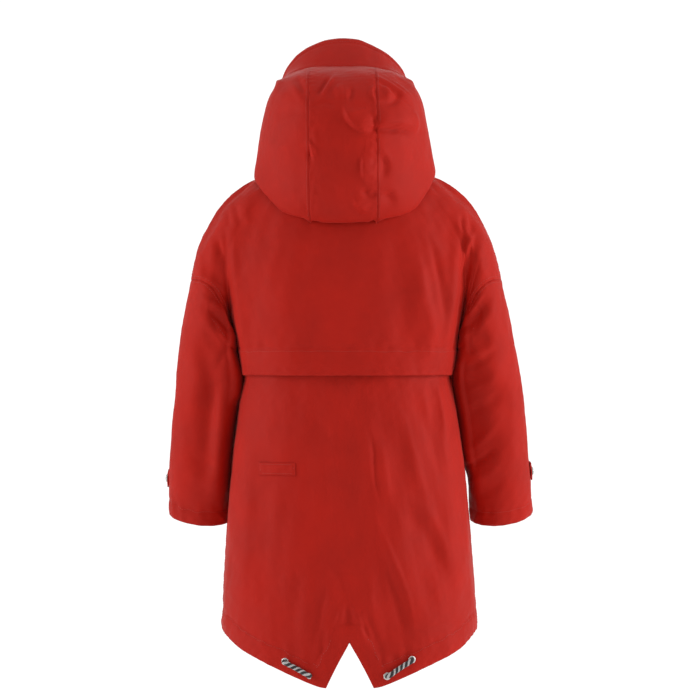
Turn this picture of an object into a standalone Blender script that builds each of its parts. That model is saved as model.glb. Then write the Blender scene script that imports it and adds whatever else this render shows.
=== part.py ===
"""Child's raincoat with a raised hood and a fishtail back, hollow as worn.

Tables are in millimetres, objects in metres. +Z is up, the back faces +Y and
the wearer's left is +X. The origin is the middle of the neck, where the
wearer's shoulders carry the coat. Every panel is a sheet of points worked out
from the tables below, given its cloth thickness towards the inside.
"""
import math

import bmesh
import bpy
from mathutils import Vector
from mathutils.bvhtree import BVHTree

# ---------------------------------------------------------------- sizes (mm)
CLOTH = 2.4             # thickness of the padded shell
SEAM = 0.16             # half of the gap between two pieces at a seam
LEAN = 0.0095           # sideways lean of the hanging coat, mm per mm of height
SECTION_POWER = 2.3     # squareness of the body's rings
ZIP_GAP = 3.6           # half of the gap between the fronts
FLAP_EDGE = -285.0      # lower edge of the storm flap
FLAP_LIFT = 2.0         # how far its free edge stands off
UNDER_FLAP = 3.4        # how far the lower back lies inside the flap
HOOD_STRIP = 51.0       # half width of the hood's centre strip
HOOD_LAP = 1.6          # hood's neck edge above the shoulders
HOOD_RIM = 4.5          # hood's lower rim above the shoulders
RIGHT_RAISE = 4.0       # the right shoulder hangs a little higher
RIGHT_SPREAD = 5.6      # the right cuff hangs a little further out
TAPE_WIDTH = 10.0       # half width of the zip's tape
TAPE_GAP = 0.5          # tape behind the fronts
TAB_SIZE = (53.0, 18.5, 1.4)        # welt on the lower back: width, height, thickness
TAB_X = 103.0
TAB_TOP = -412.5
CUFF_TAB_THICK = 2.0
CUFF_TAB = {1: (0.785, 0.865), -1: (0.752, 0.830)}     # rows of the left and right tab
CORD_ENDS = {"left": ((94.0, -700.0), (58.0, -719.0)), "right": ((-54.0, -720.0), (-90.5, -697.0))}
CORD_DIAMETER = 7.2
EYELET = (5.4, 2.6, 1.0)            # outer radius, hole radius, height
SLIDER = (11.0, 2.0, 13.0)          # width, depth, height of the slider's plate
SLIDER_Z = 28.0         # height of the slider on the closed front
LOOP = (1.8, 3.1, 3.0)  # hole radius, outer radius and width of the slider's loop
PULL = (7.4, 1.8, 30.0)             # width, thickness, length
SNAP = (6.5, 3.2)                   # radius and height of a cuff snap

# Shoulders: one row per ring from the neck (0) to the chest (1). "seam" is the
# shoulder seam, "fold" the crease where the arm leaves the body, "turn" the
# angle at which the arm's curve starts there and "lobe" that curve's depth.
SHOULDER_ROWS = (
    # row, seam_x, seam_z, back_y, back_z, front_y, front_z, fold_x, fold_z, turn, lobe, mid_y
    (0.0, 78.0, 24.0, 60.0, 14.0, -70.0, -22.0, 60.0, 20.0, 50.0, 64.0, -4.0),
    (0.2, 130.0, 11.0, 84.0, -32.0, -86.0, -58.0, 109.0, -4.0, 32.0, 66.0, -4.8),
    (0.4, 176.0, -18.0, 98.0, -82.0, -98.0, -100.0, 150.0, -48.0, 15.0, 66.0, -5.6),
    (0.6, 207.0, -62.0, 104.0, -133.0, -106.0, -145.0, 177.0, -105.0, -12.0, 64.0, -6.4),
    (0.8, 223.5, -103.0, 106.0, -183.0, -110.0, -188.0, 176.0, -160.0, -45.0, 60.0, -7.2),
    (1.0, 233.0, -142.0, 105.0, -232.0, -112.0, -232.0, 168.0, -230.0, -90.0, 56.0, -8.0),
)

# Body below the arms: half width and depths of each ring.
BODY_ROWS = (
    # z, half_w, back_y, front_y
    (-770.0, 197.0, 144.0, -141.0),
    (-662.0, 191.5, 139.0, -140.0),
    (-580.0, 187.0, 133.0, -136.0),
    (-500.0, 181.5, 125.0, -130.0),
    (-405.0, 173.0, 115.0, -122.0),
    (-320.0, 160.5, 105.0, -114.0),
    (-285.0, 157.0, 103.0, -112.0),
    (-258.0, 163.0, 104.0, -112.0),
    (-232.0, 168.0, 105.0, -112.0),
)
SIDE_Y = -8.0           # plane of the side seams

# Fishtail hem of the back: height of the edge against the half width.
HEM_EDGE = (
    # x, z
    (0.0, -672.0),
    (12.0, -693.0),
    (24.0, -715.5),
    (34.5, -737.0),
    (46.0, -735.0),
    (70.0, -726.0),
    (101.0, -713.0),
    (131.0, -700.0),
    (157.0, -688.0),
    (176.0, -676.0),
    (187.0, -667.0),
    (191.5, -663.0),
)
FRONT_HEM = -650.0
FRONT_HEM_DROP = 12.0   # the fronts drop to meet the back at the side seams
BACK_COLUMNS = (0.0, 12.0, 24.0, 34.5, 46.0, 64.0, 84.0, 104.0, 123.0, 141.0, 157.0, 170.0, 180.0, 187.0)

# Sleeves: one row per ring from the armhole (0) to the cuff (1).
SLEEVE_ROWS = (
    # row, in_x, out_x, mid_y, half_y, in_z, out_z, level, pitch
    (0.00, 168.0, 233.0, -8.0, 56.0, -230.0, -142.0, 0.00, 0.0),
    (0.08, 168.9, 239.5, -9.0, 55.0, -240.0, -172.0, 0.25, 0.0),
    (0.18, 167.0, 246.5, -14.0, 52.5, -258.0, -212.0, 0.60, 1.0),
    (0.30, 159.5, 253.5, -24.0, 50.0, -284.0, -258.0, 0.85, 2.0),
    (0.43, 158.5, 260.0, -32.0, 48.0, -314.0, -304.0, 1.00, 3.0),
    (0.55, 164.0, 264.0, -35.0, 46.5, -352.0, -347.0, 1.00, 4.0),
    (0.67, 169.5, 267.5, -38.0, 45.0, -393.0, -389.0, 1.00, 7.0),
    (0.78, 173.5, 270.0, -43.0, 44.0, -432.0, -427.0, 1.00, 12.0),
    (0.89, 177.0, 272.5, -52.0, 43.0, -469.0, -461.0, 1.00, 16.0),
    (1.00, 179.0, 273.5, -62.0, 42.0, -504.0, -493.0, 1.00, 17.0),
)

# Hood: one row per ring from just above the shoulders to the visor's edge.
# "side" moves the ring's widest points, "power" makes the ring squarer.
HOOD_ROWS = (
    # row, back_y, back_z, front_y, front_z, half_w, side_y, side_z, power
    (0.10, 119.0, -31.0, -77.5, -10.0, 134.5, -10.0, 52.0, 2.2),
    (0.24, 133.0, 14.0, -82.0, 2.0, 131.5, -14.0, 46.0, 2.3),
    (0.39, 138.0, 62.0, -87.0, 15.0, 126.5, -18.0, 46.0, 2.3),
    (0.54, 129.0, 108.0, -91.0, 26.0, 119.0, -20.0, 46.0, 2.4),
    (0.68, 103.0, 143.0, -94.0, 33.0, 112.0, -20.0, 42.0, 2.6),
    (0.81, 62.0, 165.0, -95.5, 38.0, 107.0, -20.0, 34.0, 2.8),
    (0.91, 18.0, 175.0, -96.5, 42.0, 104.5, -20.0, 20.0, 3.1),
    (1.00, -22.0, 180.0, -97.0, 45.0, 103.0, -18.0, 6.0, 3.3),
)
VISOR_ROWS = (
    # row, back_y, back_z, front_y, front_z, half_w, side_y, side_z, power
    (0.00, -22.0, 180.0, -97.0, 45.0, 103.0, -18.0, 6.0, 3.3),
    (0.12, -29.0, 187.0, -98.0, 46.2, 101.0, -17.0, 5.5, 2.9),
    (0.50, -50.0, 207.0, -101.0, 50.0, 99.5, -14.0, 4.0, 2.4),
    (1.00, -76.0, 229.0, -104.0, 57.0, 99.0, -10.0, 2.0, 2.05),
)
VISOR_LEVELS = (0.0, 0.25, 0.6, 1.0)
# How far down the shoulders the hood reaches, against its column.
HOOD_REACH = ((0.0, 0.300), (1.0, 0.265), (2.0, 0.205), (3.0, 0.11), (3.6, 0.06), (4.0, 0.035))

# Largest folds: a soft ridge (or trough) from one point to the other.
FOLDS = (
    # side, x0, z0, x1, z1, width, height
    (1, -62.0, -525.0, -116.0, -655.0, 13.0, 5.0),
    (1, -40.0, -560.0, -78.0, -690.0, 12.0, -3.5),
    (1, -73.0, -375.0, -128.0, -560.0, 16.0, -3.2),
    (1, -20.0, -350.0, -58.0, -520.0, 18.0, 2.6),
    (1, 34.0, -585.0, 4.0, -668.0, 10.0, 3.4),
    (1, -38.0, -590.0, -6.0, -668.0, 10.0, 3.4),
    (1, 70.0, -600.0, 100.0, -705.0, 14.0, -2.6),
    (1, 120.0, -480.0, 140.0, -640.0, 18.0, 2.6),
    (1, -95.0, -128.0, -128.0, -262.0, 15.0, 3.2),
    (1, -70.0, -140.0, -98.0, -262.0, 15.0, -2.4),
    (1, 60.0, -120.0, 84.0, -250.0, 20.0, 2.0),
    (-1, -70.0, -300.0, -96.0, -560.0, 18.0, 3.2),
    (-1, 64.0, -330.0, 104.0, -600.0, 18.0, 3.0),
    (-1, 120.0, -380.0, 132.0, -610.0, 14.0, -3.0),
    (-1, -126.0, -360.0, -140.0, -600.0, 14.0, -2.6),
    (-1, 70.0, -110.0, 96.0, -230.0, 16.0, 2.6),
    (-1, -66.0, -120.0, -104.0, -240.0, 16.0, 2.4),
)
# The same on a sleeve, against its angle (0 outside, 90 back) and height.
SLEEVE_FOLDS = (
    # arm, angle0, z0, angle1, z1, width, height
    (1, 150.0, -196.0, 70.0, -262.0, 11.0, -4.5),
    (1, 150.0, -226.0, 60.0, -300.0, 12.0, 3.6),
    (1, 120.0, -300.0, 40.0, -378.0, 15.0, -2.8),
    (1, 250.0, -330.0, 330.0, -400.0, 14.0, -3.4),
    (-1, 150.0, -188.0, 74.0, -250.0, 11.0, -5.0),
    (-1, 150.0, -214.0, 66.0, -292.0, 13.0, 4.2),
    (-1, 130.0, -264.0, 46.0, -356.0, 15.0, -3.4),
    (-1, 240.0, -340.0, 320.0, -416.0, 14.0, -3.4),
)


# ------------------------------------------------------------------ colours
def material(name, colour, roughness, metallic=0.0):
    mat = bpy.data.materials.new(name)
    mat.use_nodes = True
    shader = mat.node_tree.nodes["Principled BSDF"]
    shader.inputs["Base Color"].default_value = (*colour, 1.0)
    shader.inputs["Roughness"].default_value = roughness
    shader.inputs["Metallic"].default_value = metallic
    return mat


# ------------------------------------------------------------ interpolation
def along(table, position, column):
    """Value of a table's column at a position, on a monotone smooth curve."""
    keys = [row[0] for row in table]
    values = [row[column] for row in table]
    last = len(keys) - 1
    if position <= keys[0]:
        return values[0]
    if position >= keys[last]:
        return values[last]
    spans = [keys[i + 1] - keys[i] for i in range(last)]
    rises = [(values[i + 1] - values[i]) / spans[i] for i in range(last)]
    slopes = [rises[0]]
    for i in range(1, last):
        low, high = rises[i - 1], rises[i]
        if low * high <= 0.0:
            slopes.append(0.0)
        else:
            w0 = 2.0 * spans[i] + spans[i - 1]
            w1 = spans[i] + 2.0 * spans[i - 1]
            slopes.append((w0 + w1) / (w0 / low + w1 / high))
    slopes.append(rises[-1])
    i = max(j for j in range(last) if keys[j] <= position)
    t = (position - keys[i]) / spans[i]
    a = values[i] * (1 + 2 * t) * (1 - t) ** 2 + values[i + 1] * t * t * (3 - 2 * t)
    b = spans[i] * (slopes[i] * t * (1 - t) ** 2 + slopes[i + 1] * t * t * (t - 1))
    return a + b


def straight(table, position, column=1):
    """Value of a table's column at a position, on straight lines."""
    for low, high in zip(table, table[1:]):
        if position <= high[0]:
            t = max(0.0, (position - low[0]) / (high[0] - low[0]))
            return low[column] + (high[column] - low[column]) * t
    return table[-1][column]


def smooth(edge0, edge1, value):
    t = min(1.0, max(0.0, (value - edge0) / (edge1 - edge0)))
    return t * t * (3.0 - 2.0 * t)


def power(value, exponent):
    """Signed power, for superellipse rings."""
    return math.copysign(abs(value) ** exponent, value)


def ridge(x, z, x0, z0, x1, z1, width, height):
    """Height at (x, z) of a soft ridge that fades out at both of its ends."""
    dx, dz = x1 - x0, z1 - z0
    length = math.hypot(dx, dz)
    s = ((x - x0) * dx + (z - z0) * dz) / (length * length)
    across = abs((x - x0) * dz - (z - z0) * dx) / length
    if s < -0.15 or s > 1.15:
        return 0.0
    ends = smooth(-0.15, 0.25, s) * smooth(1.15, 0.8, s) if s > 0.5 else smooth(-0.15, 0.25, s)
    return height * ends * math.exp(-(across / width) ** 2)


def fold_lift(side, x, z):
    """Height of all the large folds of the back (1) or front (-1) at (x, z)."""
    return sum(ridge(x, z, *fold[1:]) for fold in FOLDS if fold[0] == side)


# ----------------------------------------------------------- body's surface
def shoulder(side, row, column, hand=1):
    """Point of the shoulders' surface: side 1 back or -1 front, row from neck
    to chest, column 0 centre, 1 the crease at the arm, 2 the shoulder seam.
    The right half (hand -1) is given as its mirror image."""
    t = SHOULDER_ROWS
    seam_x, seam_z, mid_y = along(t, row, 1), along(t, row, 2), along(t, row, 11)
    face_y, face_z = (along(t, row, 3), along(t, row, 4)) if side > 0 else (along(t, row, 5), along(t, row, 6))
    fold_x, fold_z = along(t, row, 7), along(t, row, 8)
    turn, lobe = math.radians(along(t, row, 9)), along(t, row, 10)
    fold_y = mid_y + side * lobe * math.cos(turn)
    if row >= 1.0:
        fold_y = mid_y
    if column <= 1.0:
        angle = column * math.pi / 2
        fill = 1.0 + (SECTION_POWER - 1.0) * smooth(0.55, 1.0, row) + 0.6 * smooth(0.3, 0.0, row)
        x = fold_x * power(math.sin(angle), 2 / SECTION_POWER)
        y = fold_y + (face_y - fold_y) * power(max(0.0, math.cos(angle)), 2 / fill)
        z = face_z + (fold_z - face_z) * math.sin(angle) ** 2
        lift = fold_lift(side, hand * x, z) * smooth(1.0, 0.8, column) * smooth(0.35, 0.6, row)
        return Vector((x, y + side * lift, z))
    angle = turn + (math.pi / 2 - turn) * (column - 1.0)
    reach = (seam_x - fold_x) / (1.0 - math.sin(turn))
    share = (reach * (math.sin(angle) - math.sin(turn))) / (seam_x - fold_x)
    steep = 1.0 + 2.0 * smooth(0.5, 1.0, row)
    x = fold_x + (seam_x - fold_x) * share
    y = mid_y + side * lobe * max(0.0, math.cos(angle))
    z = fold_z + (seam_z - fold_z) * (1.0 - (1.0 - share) ** steep)
    return Vector((x, y, z))


def body_column(z, column):
    """Distance from the centre of a body column, 0 centre to 1 side seam."""
    return along(BODY_ROWS, z, 1) * power(math.sin(column * math.pi / 2), 2 / SECTION_POWER)


def body(side, z, x, inset=0.0, hand=1):
    """Point of the body's back (1) or front (-1) at a given x and z."""
    half_w = along(BODY_ROWS, z, 1)
    face_y = along(BODY_ROWS, z, 2) if side > 0 else along(BODY_ROWS, z, 3)
    share = min(1.0, abs(x) / half_w)
    drop = (1.0 - share ** SECTION_POWER) ** (1 / SECTION_POWER)
    lift = fold_lift(side, hand * x, z) * smooth(1.0, 0.86, share)
    point = Vector((x, SIDE_Y + (face_y - SIDE_Y) * drop + side * lift, z))
    if inset:
        ahead = Vector((power(x / half_w, SECTION_POWER - 1) / half_w,
                        side * drop ** (SECTION_POWER - 1) / abs(face_y - SIDE_Y), 0.0))
        point -= ahead.normalized() * inset
    return point


# ---------------------------------------------------------- hood's surface
def ring_point(values, angle):
    """Point of one hood ring; angle 0 at the back or top, 180 at the chin."""
    back_y, back_z, front_y, front_z, half_w, side_y, side_z, squareness = values
    c = power(math.cos(angle), 2 / squareness)
    s = power(math.sin(angle), 2 / squareness)
    y = (back_y + front_y) / 2 + (back_y - front_y) / 2 * c + side_y * math.sin(angle) ** 2
    z = (back_z + front_z) / 2 + (back_z - front_z) / 2 * c + side_z * math.sin(angle) ** 2
    return Vector((half_w * s, y, z))


def column_angle(column):
    """Ring angle of a hood column 0 (back) .. 2 (side) .. 4 (chin)."""
    k = column if column <= 2.0 else 4.0 - column
    angle = 60.0 * k if k <= 1.0 else 60.0 + 30.0 * (k - 1.0)
    return math.radians(angle if column <= 2.0 else 180.0 - angle)


def ring_column(values, x, front):
    """Hood column at which a ring passes the given x."""
    half_w, squareness = values[4], values[7]
    angle = math.degrees(math.asin(min(1.0, (x / half_w) ** (squareness / 2))))
    k = angle / 60.0 if angle <= 60.0 else 1.0 + (angle - 60.0) / 30.0
    return 4.0 - k if front else k


def lap_point(share, column):
    """Point of the hood where it lies on the shoulders; share 0 neck, 1 rim."""
    reach = along(HOOD_REACH, column, 1)
    side = 1 if column <= 2.0 else -1
    k = column if column <= 2.0 else 4.0 - column
    row = reach * share
    here = shoulder(side, row, k)
    step_row = shoulder(side, row + 0.01, k) - here
    other = k - 0.02 if k > 1.0 else k + 0.02
    step_col = (shoulder(side, row, other) - here) * (-1.0 if other < k else 1.0)
    outward = step_row.cross(step_col) if side > 0 else step_col.cross(step_row)
    outward.normalize()
    if outward.z < 0.0:
        outward = -outward
    clear = HOOD_LAP + 1.0 * math.exp(-((k - 1.0) / 0.35) ** 2)
    lap = here + outward * (clear + (HOOD_RIM - clear) * share ** 0.7)
    first = ring_point(HOOD_ROWS[0][1:], column_angle(column))
    neck = shoulder(side, 0.0, k)
    butt = neck + (first - neck) * (0.04 + 0.55 * share)
    return lap.lerp(butt, smooth(3.0, 3.8, column))


def lap_column(share, x, front):
    """Hood column at which the lap passes the given x."""
    low, high = (0.0, 2.0) if not front else (2.0, 4.0)
    for _ in range(40):
        middle = (low + high) / 2
        inside = lap_point(share, middle).x < x
        if inside != front:
            low = middle
        else:
            high = middle
    return (low + high) / 2


# ------------------------------------------------------------------- solids
RIMS = {}               # how the thickness runs at cut edges: an axis or a direction
SURFACES = {}           # outer surfaces that other pieces are laid on


def place(point):
    """Millimetres to metres, with the coat's slight lean to one side."""
    x, y, z = point
    raised = RIGHT_RAISE * smooth(-70.0, -170.0, x) * smooth(-130.0, -30.0, z)
    return Vector((x + LEAN * z, y, z + raised)) / 1000.0


def rim(point, rule):
    """Keep the thickness at a point square to an axis, or along a direction."""
    RIMS[tuple(point)] = rule
    return point


def mirrored(rows):
    """The same points on the other side of the body, in reversed order."""
    result = []
    for row in rows:
        line = []
        for point in reversed(row):
            if point is None:
                line.append(None)
                continue
            twin = Vector((-point.x, point.y, point.z))
            rule = RIMS.get(tuple(point))
            if rule is not None:
                rim(twin, Vector((-rule.x, rule.y, rule.z)) if isinstance(rule, Vector) else rule)
            line.append(twin)
        result.append(line)
    return result


def add_object(name, bm, mat):
    mesh = bpy.data.meshes.new(name)
    bm.to_mesh(mesh)
    bm.free()
    mesh.materials.append(mat)
    mesh.shade_smooth()
    mesh.set_sharp_from_angle(angle=math.radians(40.0))
    obj = bpy.data.objects.new(name, mesh)
    bpy.context.collection.objects.link(obj)
    return obj


def sheet(rows, closed=False):
    """Grid of faces through rows of points; a point may be None (no cloth)."""
    n_rows, n_cols = len(rows), len(rows[0])
    bm = bmesh.new()
    bmesh.ops.create_grid(bm, x_segments=n_cols - 1, y_segments=n_rows - 1, size=1.0)
    bm.verts.ensure_lookup_table()
    missing = []
    for i in range(n_rows):
        for j in range(n_cols):
            vert = bm.verts[i * n_cols + j]
            if rows[i][j] is None:
                missing.append(vert)
            else:
                vert.co = rows[i][j]
    bmesh.ops.delete(bm, geom=missing, context="VERTS")
    if closed:
        bmesh.ops.remove_doubles(bm, verts=bm.verts[:], dist=1e-4)
    bm.normal_update()
    return bm


def thicken(bm, outward, thickness):
    """Give a sheet its thickness towards the inside."""
    probe = max(bm.faces, key=lambda f: f.calc_area())
    if probe.normal.dot(outward(probe.calc_center_median())) < 0.0:
        bmesh.ops.reverse_faces(bm, faces=bm.faces[:])
        bm.normal_update()
    inward = {}
    for vert in bm.verts:
        rule = RIMS.get(tuple(vert.co))
        normal = vert.normal.copy()
        if isinstance(rule, Vector):
            inward[tuple(vert.co)] = -rule * thickness
            continue
        if rule is not None:
            normal[rule] = 0.0
            normal.normalize()
        spread = sum(max(0.3, normal.dot(f.normal)) for f in vert.link_faces) / len(vert.link_faces)
        inward[tuple(vert.co)] = -normal * min(thickness / spread, thickness * 1.4)
    grown = bmesh.ops.extrude_face_region(bm, geom=bm.faces[:], use_keep_orig=True)
    for vert in grown["geom"]:
        if isinstance(vert, bmesh.types.BMVert):
            vert.co += inward[tuple(vert.co)]
    bmesh.ops.recalc_face_normals(bm, faces=bm.faces[:])


def cloth_piece(name, rows, outward, mat, closed=False, thickness=CLOTH):
    bm = sheet(rows, closed)
    SURFACES[name] = BVHTree.FromBMesh(bm)
    thicken(bm, outward, thickness)
    for vert in bm.verts:
        vert.co = place(vert.co)
    return add_object(name, bm, mat)


def levels(start, stop, count):
    return [start + (stop - start) * i / count for i in range(count)] + [stop]


# ------------------------------------------------------------------- panels
TORSO_COLUMNS = levels(0.0, 1.0, 11)
LOBE_COLUMNS = levels(1.0, 2.0, 9)[1:]
SHOULDER_LEVELS = (0.0, 0.08, 0.17, 0.27, 0.38, 0.49, 0.60, 0.71, 0.81, 0.90, 1.0)
FLAP_LEVELS = (-250.0, -268.0, FLAP_EDGE)
FRONT_LEVELS = (-258.0, -285.0, -320.0, -365.0, -420.0, -480.0, -540.0)
PANEL_LEVELS = (-246.0, -266.0, -286.0, -304.0, -326.0, -360.0, -405.0, -455.0, -505.0, -550.0)
BACK_HEM_LEVELS = (0.2, 0.4, 0.6, 0.8, 0.92, 1.0)
FRONT_HEM_LEVELS = (0.34, 0.67, 1.0)


def armhole_out(column):
    """Direction square to the sleeve's tube at an armhole column (1 .. 2)."""
    angle = math.pi * (column - 1.5)
    return Vector((math.sin(angle) / 32.5, math.cos(angle) / 56.0, 0.0)).normalized()


def shoulder_row(side, row, columns, hand):
    """One ring of the shoulders, its cut edges half a gap from their seams."""
    points = []
    for column in columns:
        point = shoulder(side, row, column, hand)
        chest = row >= 1.0
        if column >= 2.0 or (chest and column == 1.0):
            point.y += side * SEAM
        if chest and column >= 1.0:
            out = armhole_out(column)
            rim(point, Vector((0.0, 0.0, -1.85)) if column == 1.0 else Vector((out.x, side * out.y, 0.0)))
        elif column >= 2.0:
            rim(point, 1)
        points.append(point)
    return points


def half_yoke(hand):
    """Half of the upper back with its storm flap, from centre to armhole."""
    rows = [shoulder_row(1, row, TORSO_COLUMNS + LOBE_COLUMNS, hand) for row in SHOULDER_LEVELS]
    for z in FLAP_LEVELS:
        points = []
        for column in TORSO_COLUMNS:
            point = body(1, z, body_column(z, column), hand=hand)
            point.y += FLAP_LIFT * smooth(-235.0, FLAP_EDGE, z) * (1.0 - column ** 4)
            if column == 1.0:
                point.y = SIDE_Y + SEAM
                rim(point, 1)
            points.append(point)
        rows.append(points + [None] * len(LOBE_COLUMNS))
    return rows


def back_yoke(mat):
    rows = [right[:-1] + left for right, left in zip(mirrored(half_yoke(-1)), half_yoke(1))]
    cloth_piece("back_yoke", rows, lambda c: Vector((0.0, 1.0, 0.3)), mat)


def front_half(hand):
    """A front from the zip to the armhole and down to its hem."""
    columns = levels(0.09, 1.0, 9)
    rows = []
    for row in SHOULDER_LEVELS:
        share = (ZIP_GAP / along(SHOULDER_ROWS, row, 7)) ** (SECTION_POWER / 2)
        first = math.asin(share) * 2 / math.pi
        points = shoulder_row(-1, row, [first] + columns + LOBE_COLUMNS, hand)
        points[0].x = ZIP_GAP
        rim(points[0], 0)
        rows.append(points)
    for z in FRONT_LEVELS + FRONT_HEM_LEVELS:
        points = []
        for column in [None] + columns:
            hem = FRONT_HEM - FRONT_HEM_DROP * (column or 0.0) ** 5
            level = z if z < 0.0 else FRONT_LEVELS[-1] + (hem - FRONT_LEVELS[-1]) * z
            x = ZIP_GAP if column is None else body_column(level, column)
            point = body(-1, level, x, hand=hand)
            if column is None:
                rim(point, 0)
            if column == 1.0:
                point.y = SIDE_Y - SEAM
                rim(point, 1)
            points.append(point)
        rows.append(points + [None] * len(LOBE_COLUMNS))
    return rows


def fronts(mat_left, mat_right):
    left = front_half(1)
    cloth_piece("front_left", left, lambda c: Vector((0.0, -1.0, 0.3)), mat_left)
    cloth_piece("front_right", mirrored(front_half(-1)), lambda c: Vector((0.0, -1.0, 0.3)), mat_right)
    return left


def panel_point(z, x, hand):
    """Point of the lower back, drawn in where it lies under the flap."""
    return body(1, z, x, UNDER_FLAP * smooth(-330.0, -288.0, z), hand)


def half_panel(hand):
    """Half of the lower back, from under the flap to the fishtail hem."""
    widest = BODY_ROWS[1][1]
    rows = []
    for z in PANEL_LEVELS + BACK_HEM_LEVELS:
        points = []
        for wide in BACK_COLUMNS + (widest,):
            level = z if z < 0.0 else PANEL_LEVELS[-1] + (straight(HEM_EDGE, wide) - PANEL_LEVELS[-1]) * z
            half_w = along(BODY_ROWS, level, 1)
            scale = half_w / widest
            scale += (1.0 - scale) * smooth(62.0, 34.0, wide) * smooth(-520.0, -640.0, level)
            x = half_w if wide == widest else min(wide * scale, half_w - 1.0)
            point = panel_point(level, x, hand)
            if wide == widest:
                point.y = SIDE_Y + SEAM
                rim(point, 1)
            points.append(point)
        rows.append(points)
    return rows


def back_panel(mat):
    rows = [right[:-1] + left for right, left in zip(mirrored(half_panel(-1)), half_panel(1))]
    cloth_piece("back_panel", rows, lambda c: Vector((0.0, 1.0, 0.0)), mat)


# ------------------------------------------------------------------ sleeves
SLEEVE_LEVELS = (0.0, 0.05, 0.11, 0.18, 0.26, 0.34, 0.43, 0.52, 0.61, 0.69)
SLEEVE_SIDES = 18
SLEEVE_GAP = 0.55       # sleeve's top edge from the armhole's edge


def sleeve_point(arm, row, angle):
    """Point of a sleeve as on the left; angle 0 outside, 90 back, 180 inside."""
    t = SLEEVE_ROWS
    in_x, out_x, mid_y, half_y = (along(t, row, i) for i in (1, 2, 3, 4))
    in_z, out_z, level, pitch = (along(t, row, i) for i in (5, 6, 7, 8))
    c, s = math.cos(angle), math.sin(angle)
    share = (1.0 + c) / 2
    arch = 1.0 - (1.0 - share) ** 3
    z = in_z + (out_z - in_z) * ((1.0 - level) * arch + level * share)
    steep = (out_z - in_z) * (1.0 - level) * 1.5 * (1.0 - share) ** 2 * s
    z -= SLEEVE_GAP * math.hypot(1.0, steep / math.hypot((out_x - in_x) / 2 * s, half_y * c))
    z -= math.tan(math.radians(pitch)) * half_y * s
    degrees = math.degrees(angle) % 360.0
    lift = sum(ridge(degrees * 0.82, z, f[1] * 0.82, f[2], f[3] * 0.82, f[4], f[5], f[6])
               for f in SLEEVE_FOLDS if f[0] == arm)
    lift *= smooth(0.10, 0.22, row) * (1.0 - smooth(0.5, 0.95, -c))
    half_x = (out_x - in_x) / 2
    x = (in_x + out_x) / 2 + (half_x + lift) * c
    if arm < 0:
        x += RIGHT_SPREAD * smooth(0.1, 0.55, row)
    return Vector((x, mid_y + (half_y + lift) * s, z))


def sleeve(name, arm, mat):
    rows = []
    for row in SLEEVE_LEVELS + CUFF_TAB[arm] + ((CUFF_TAB[arm][1] + 1.0) / 2, 1.0):
        line = []
        for j in range(SLEEVE_SIDES + 1):
            angle = 2 * math.pi * (j % SLEEVE_SIDES) / SLEEVE_SIDES
            point = sleeve_point(arm, row, angle)
            if row == 0.0:
                rim(point, Vector((math.cos(angle) / 32.5, math.sin(angle) / 56.0, 0.0)).normalized())
            line.append(point)
        rows.append(line)
    if arm < 0:
        rows = mirrored(rows)
    cloth_piece(name, rows, lambda c: c - Vector((arm * 215.0, -25.0, c.z)), mat, closed=True)


# --------------------------------------------------------------------- hood
LAP_SHARES = (0.0, 0.33, 0.67, 1.0)
HOOD_LEVELS = (0.12, 0.24, 0.36, 0.48, 0.58, 0.67, 0.75, 0.82, 0.88, 0.94, 1.0)
STRIP_PARTS = 4
SIDE_PARTS = 15
BRIM_GAP = 0.36
BRIM_FRONT = 9.0        # width of the brim band at the chin


def hood_values(position, table=HOOD_ROWS):
    return [along(table, position, i) for i in range(1, 9)]


def ring_out(values, angle):
    """Direction square to a hood ring, in the ring's own plane."""
    low, high = max(angle - 0.03, 0.0005), min(angle + 0.03, math.pi - 0.0005)
    run = ring_point(values, high) - ring_point(values, low)
    rise = Vector((0.0, values[0] - values[2], values[1] - values[3]))
    out = run.cross(Vector((0.0, rise.z, -rise.y)))
    middle = Vector((0.0, (values[0] + values[2]) / 2, (values[1] + values[3]) / 2))
    return (out if out.dot(ring_point(values, angle) - middle) > 0.0 else -out).normalized()


def hood_column(spot, x=None):
    """Points of one hood column from the neck seam to the visor seam."""
    points = [lap_point(share, spot(None, share)) for share in LAP_SHARES]
    for position in HOOD_LEVELS:
        values = hood_values(position)
        points.append(ring_point(values, column_angle(spot(values, position))))
    if x is not None:
        for point in points:
            point.x = x
    values = hood_values(1.0)
    out = ring_out(values, column_angle(spot(values, 1.0)))
    rim(points[-1], Vector((0.0, out.y, out.z)).normalized() if x is not None else out)
    return points


def strip_spot(x):
    def spot(values, share):
        return lap_column(share, x, False) if values is None else ring_column(values, x, False)
    return spot


def side_spot(part):
    """Column of a hood side at a share of its width, from strip to zip."""
    def spot(values, share):
        if values is None:
            first = lap_column(share, HOOD_STRIP + SEAM, False)
            last = lap_column(share, ZIP_GAP, True)
        else:
            first = ring_column(values, HOOD_STRIP + SEAM, False)
            last = ring_column(values, ZIP_GAP, True)
        return first + (last - first) * part
    return spot


def hood_center(mat):
    columns = []
    for x in levels(0.0, HOOD_STRIP - SEAM, STRIP_PARTS):
        columns.append(hood_column(strip_spot(max(x, 0.001)), x))
    for point in columns[-1][:-1]:
        rim(point, 0)
    half = [list(row) for row in zip(*columns)]
    rows = [low[:-1] + high for low, high in zip(mirrored(half), half)]
    cloth_piece("hood_center", rows, lambda c: c - Vector((0.0, 20.0, 60.0)), mat)


def hood_side_rows():
    columns = []
    for j in range(SIDE_PARTS + 1):
        edge = {0: HOOD_STRIP + SEAM, SIDE_PARTS: ZIP_GAP}.get(j)
        column = hood_column(side_spot(j / SIDE_PARTS), edge)
        if edge is not None:
            for point in column[:-1]:
                rim(point, 0)
        columns.append(column)
    return [list(row) for row in zip(*columns)]


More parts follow.
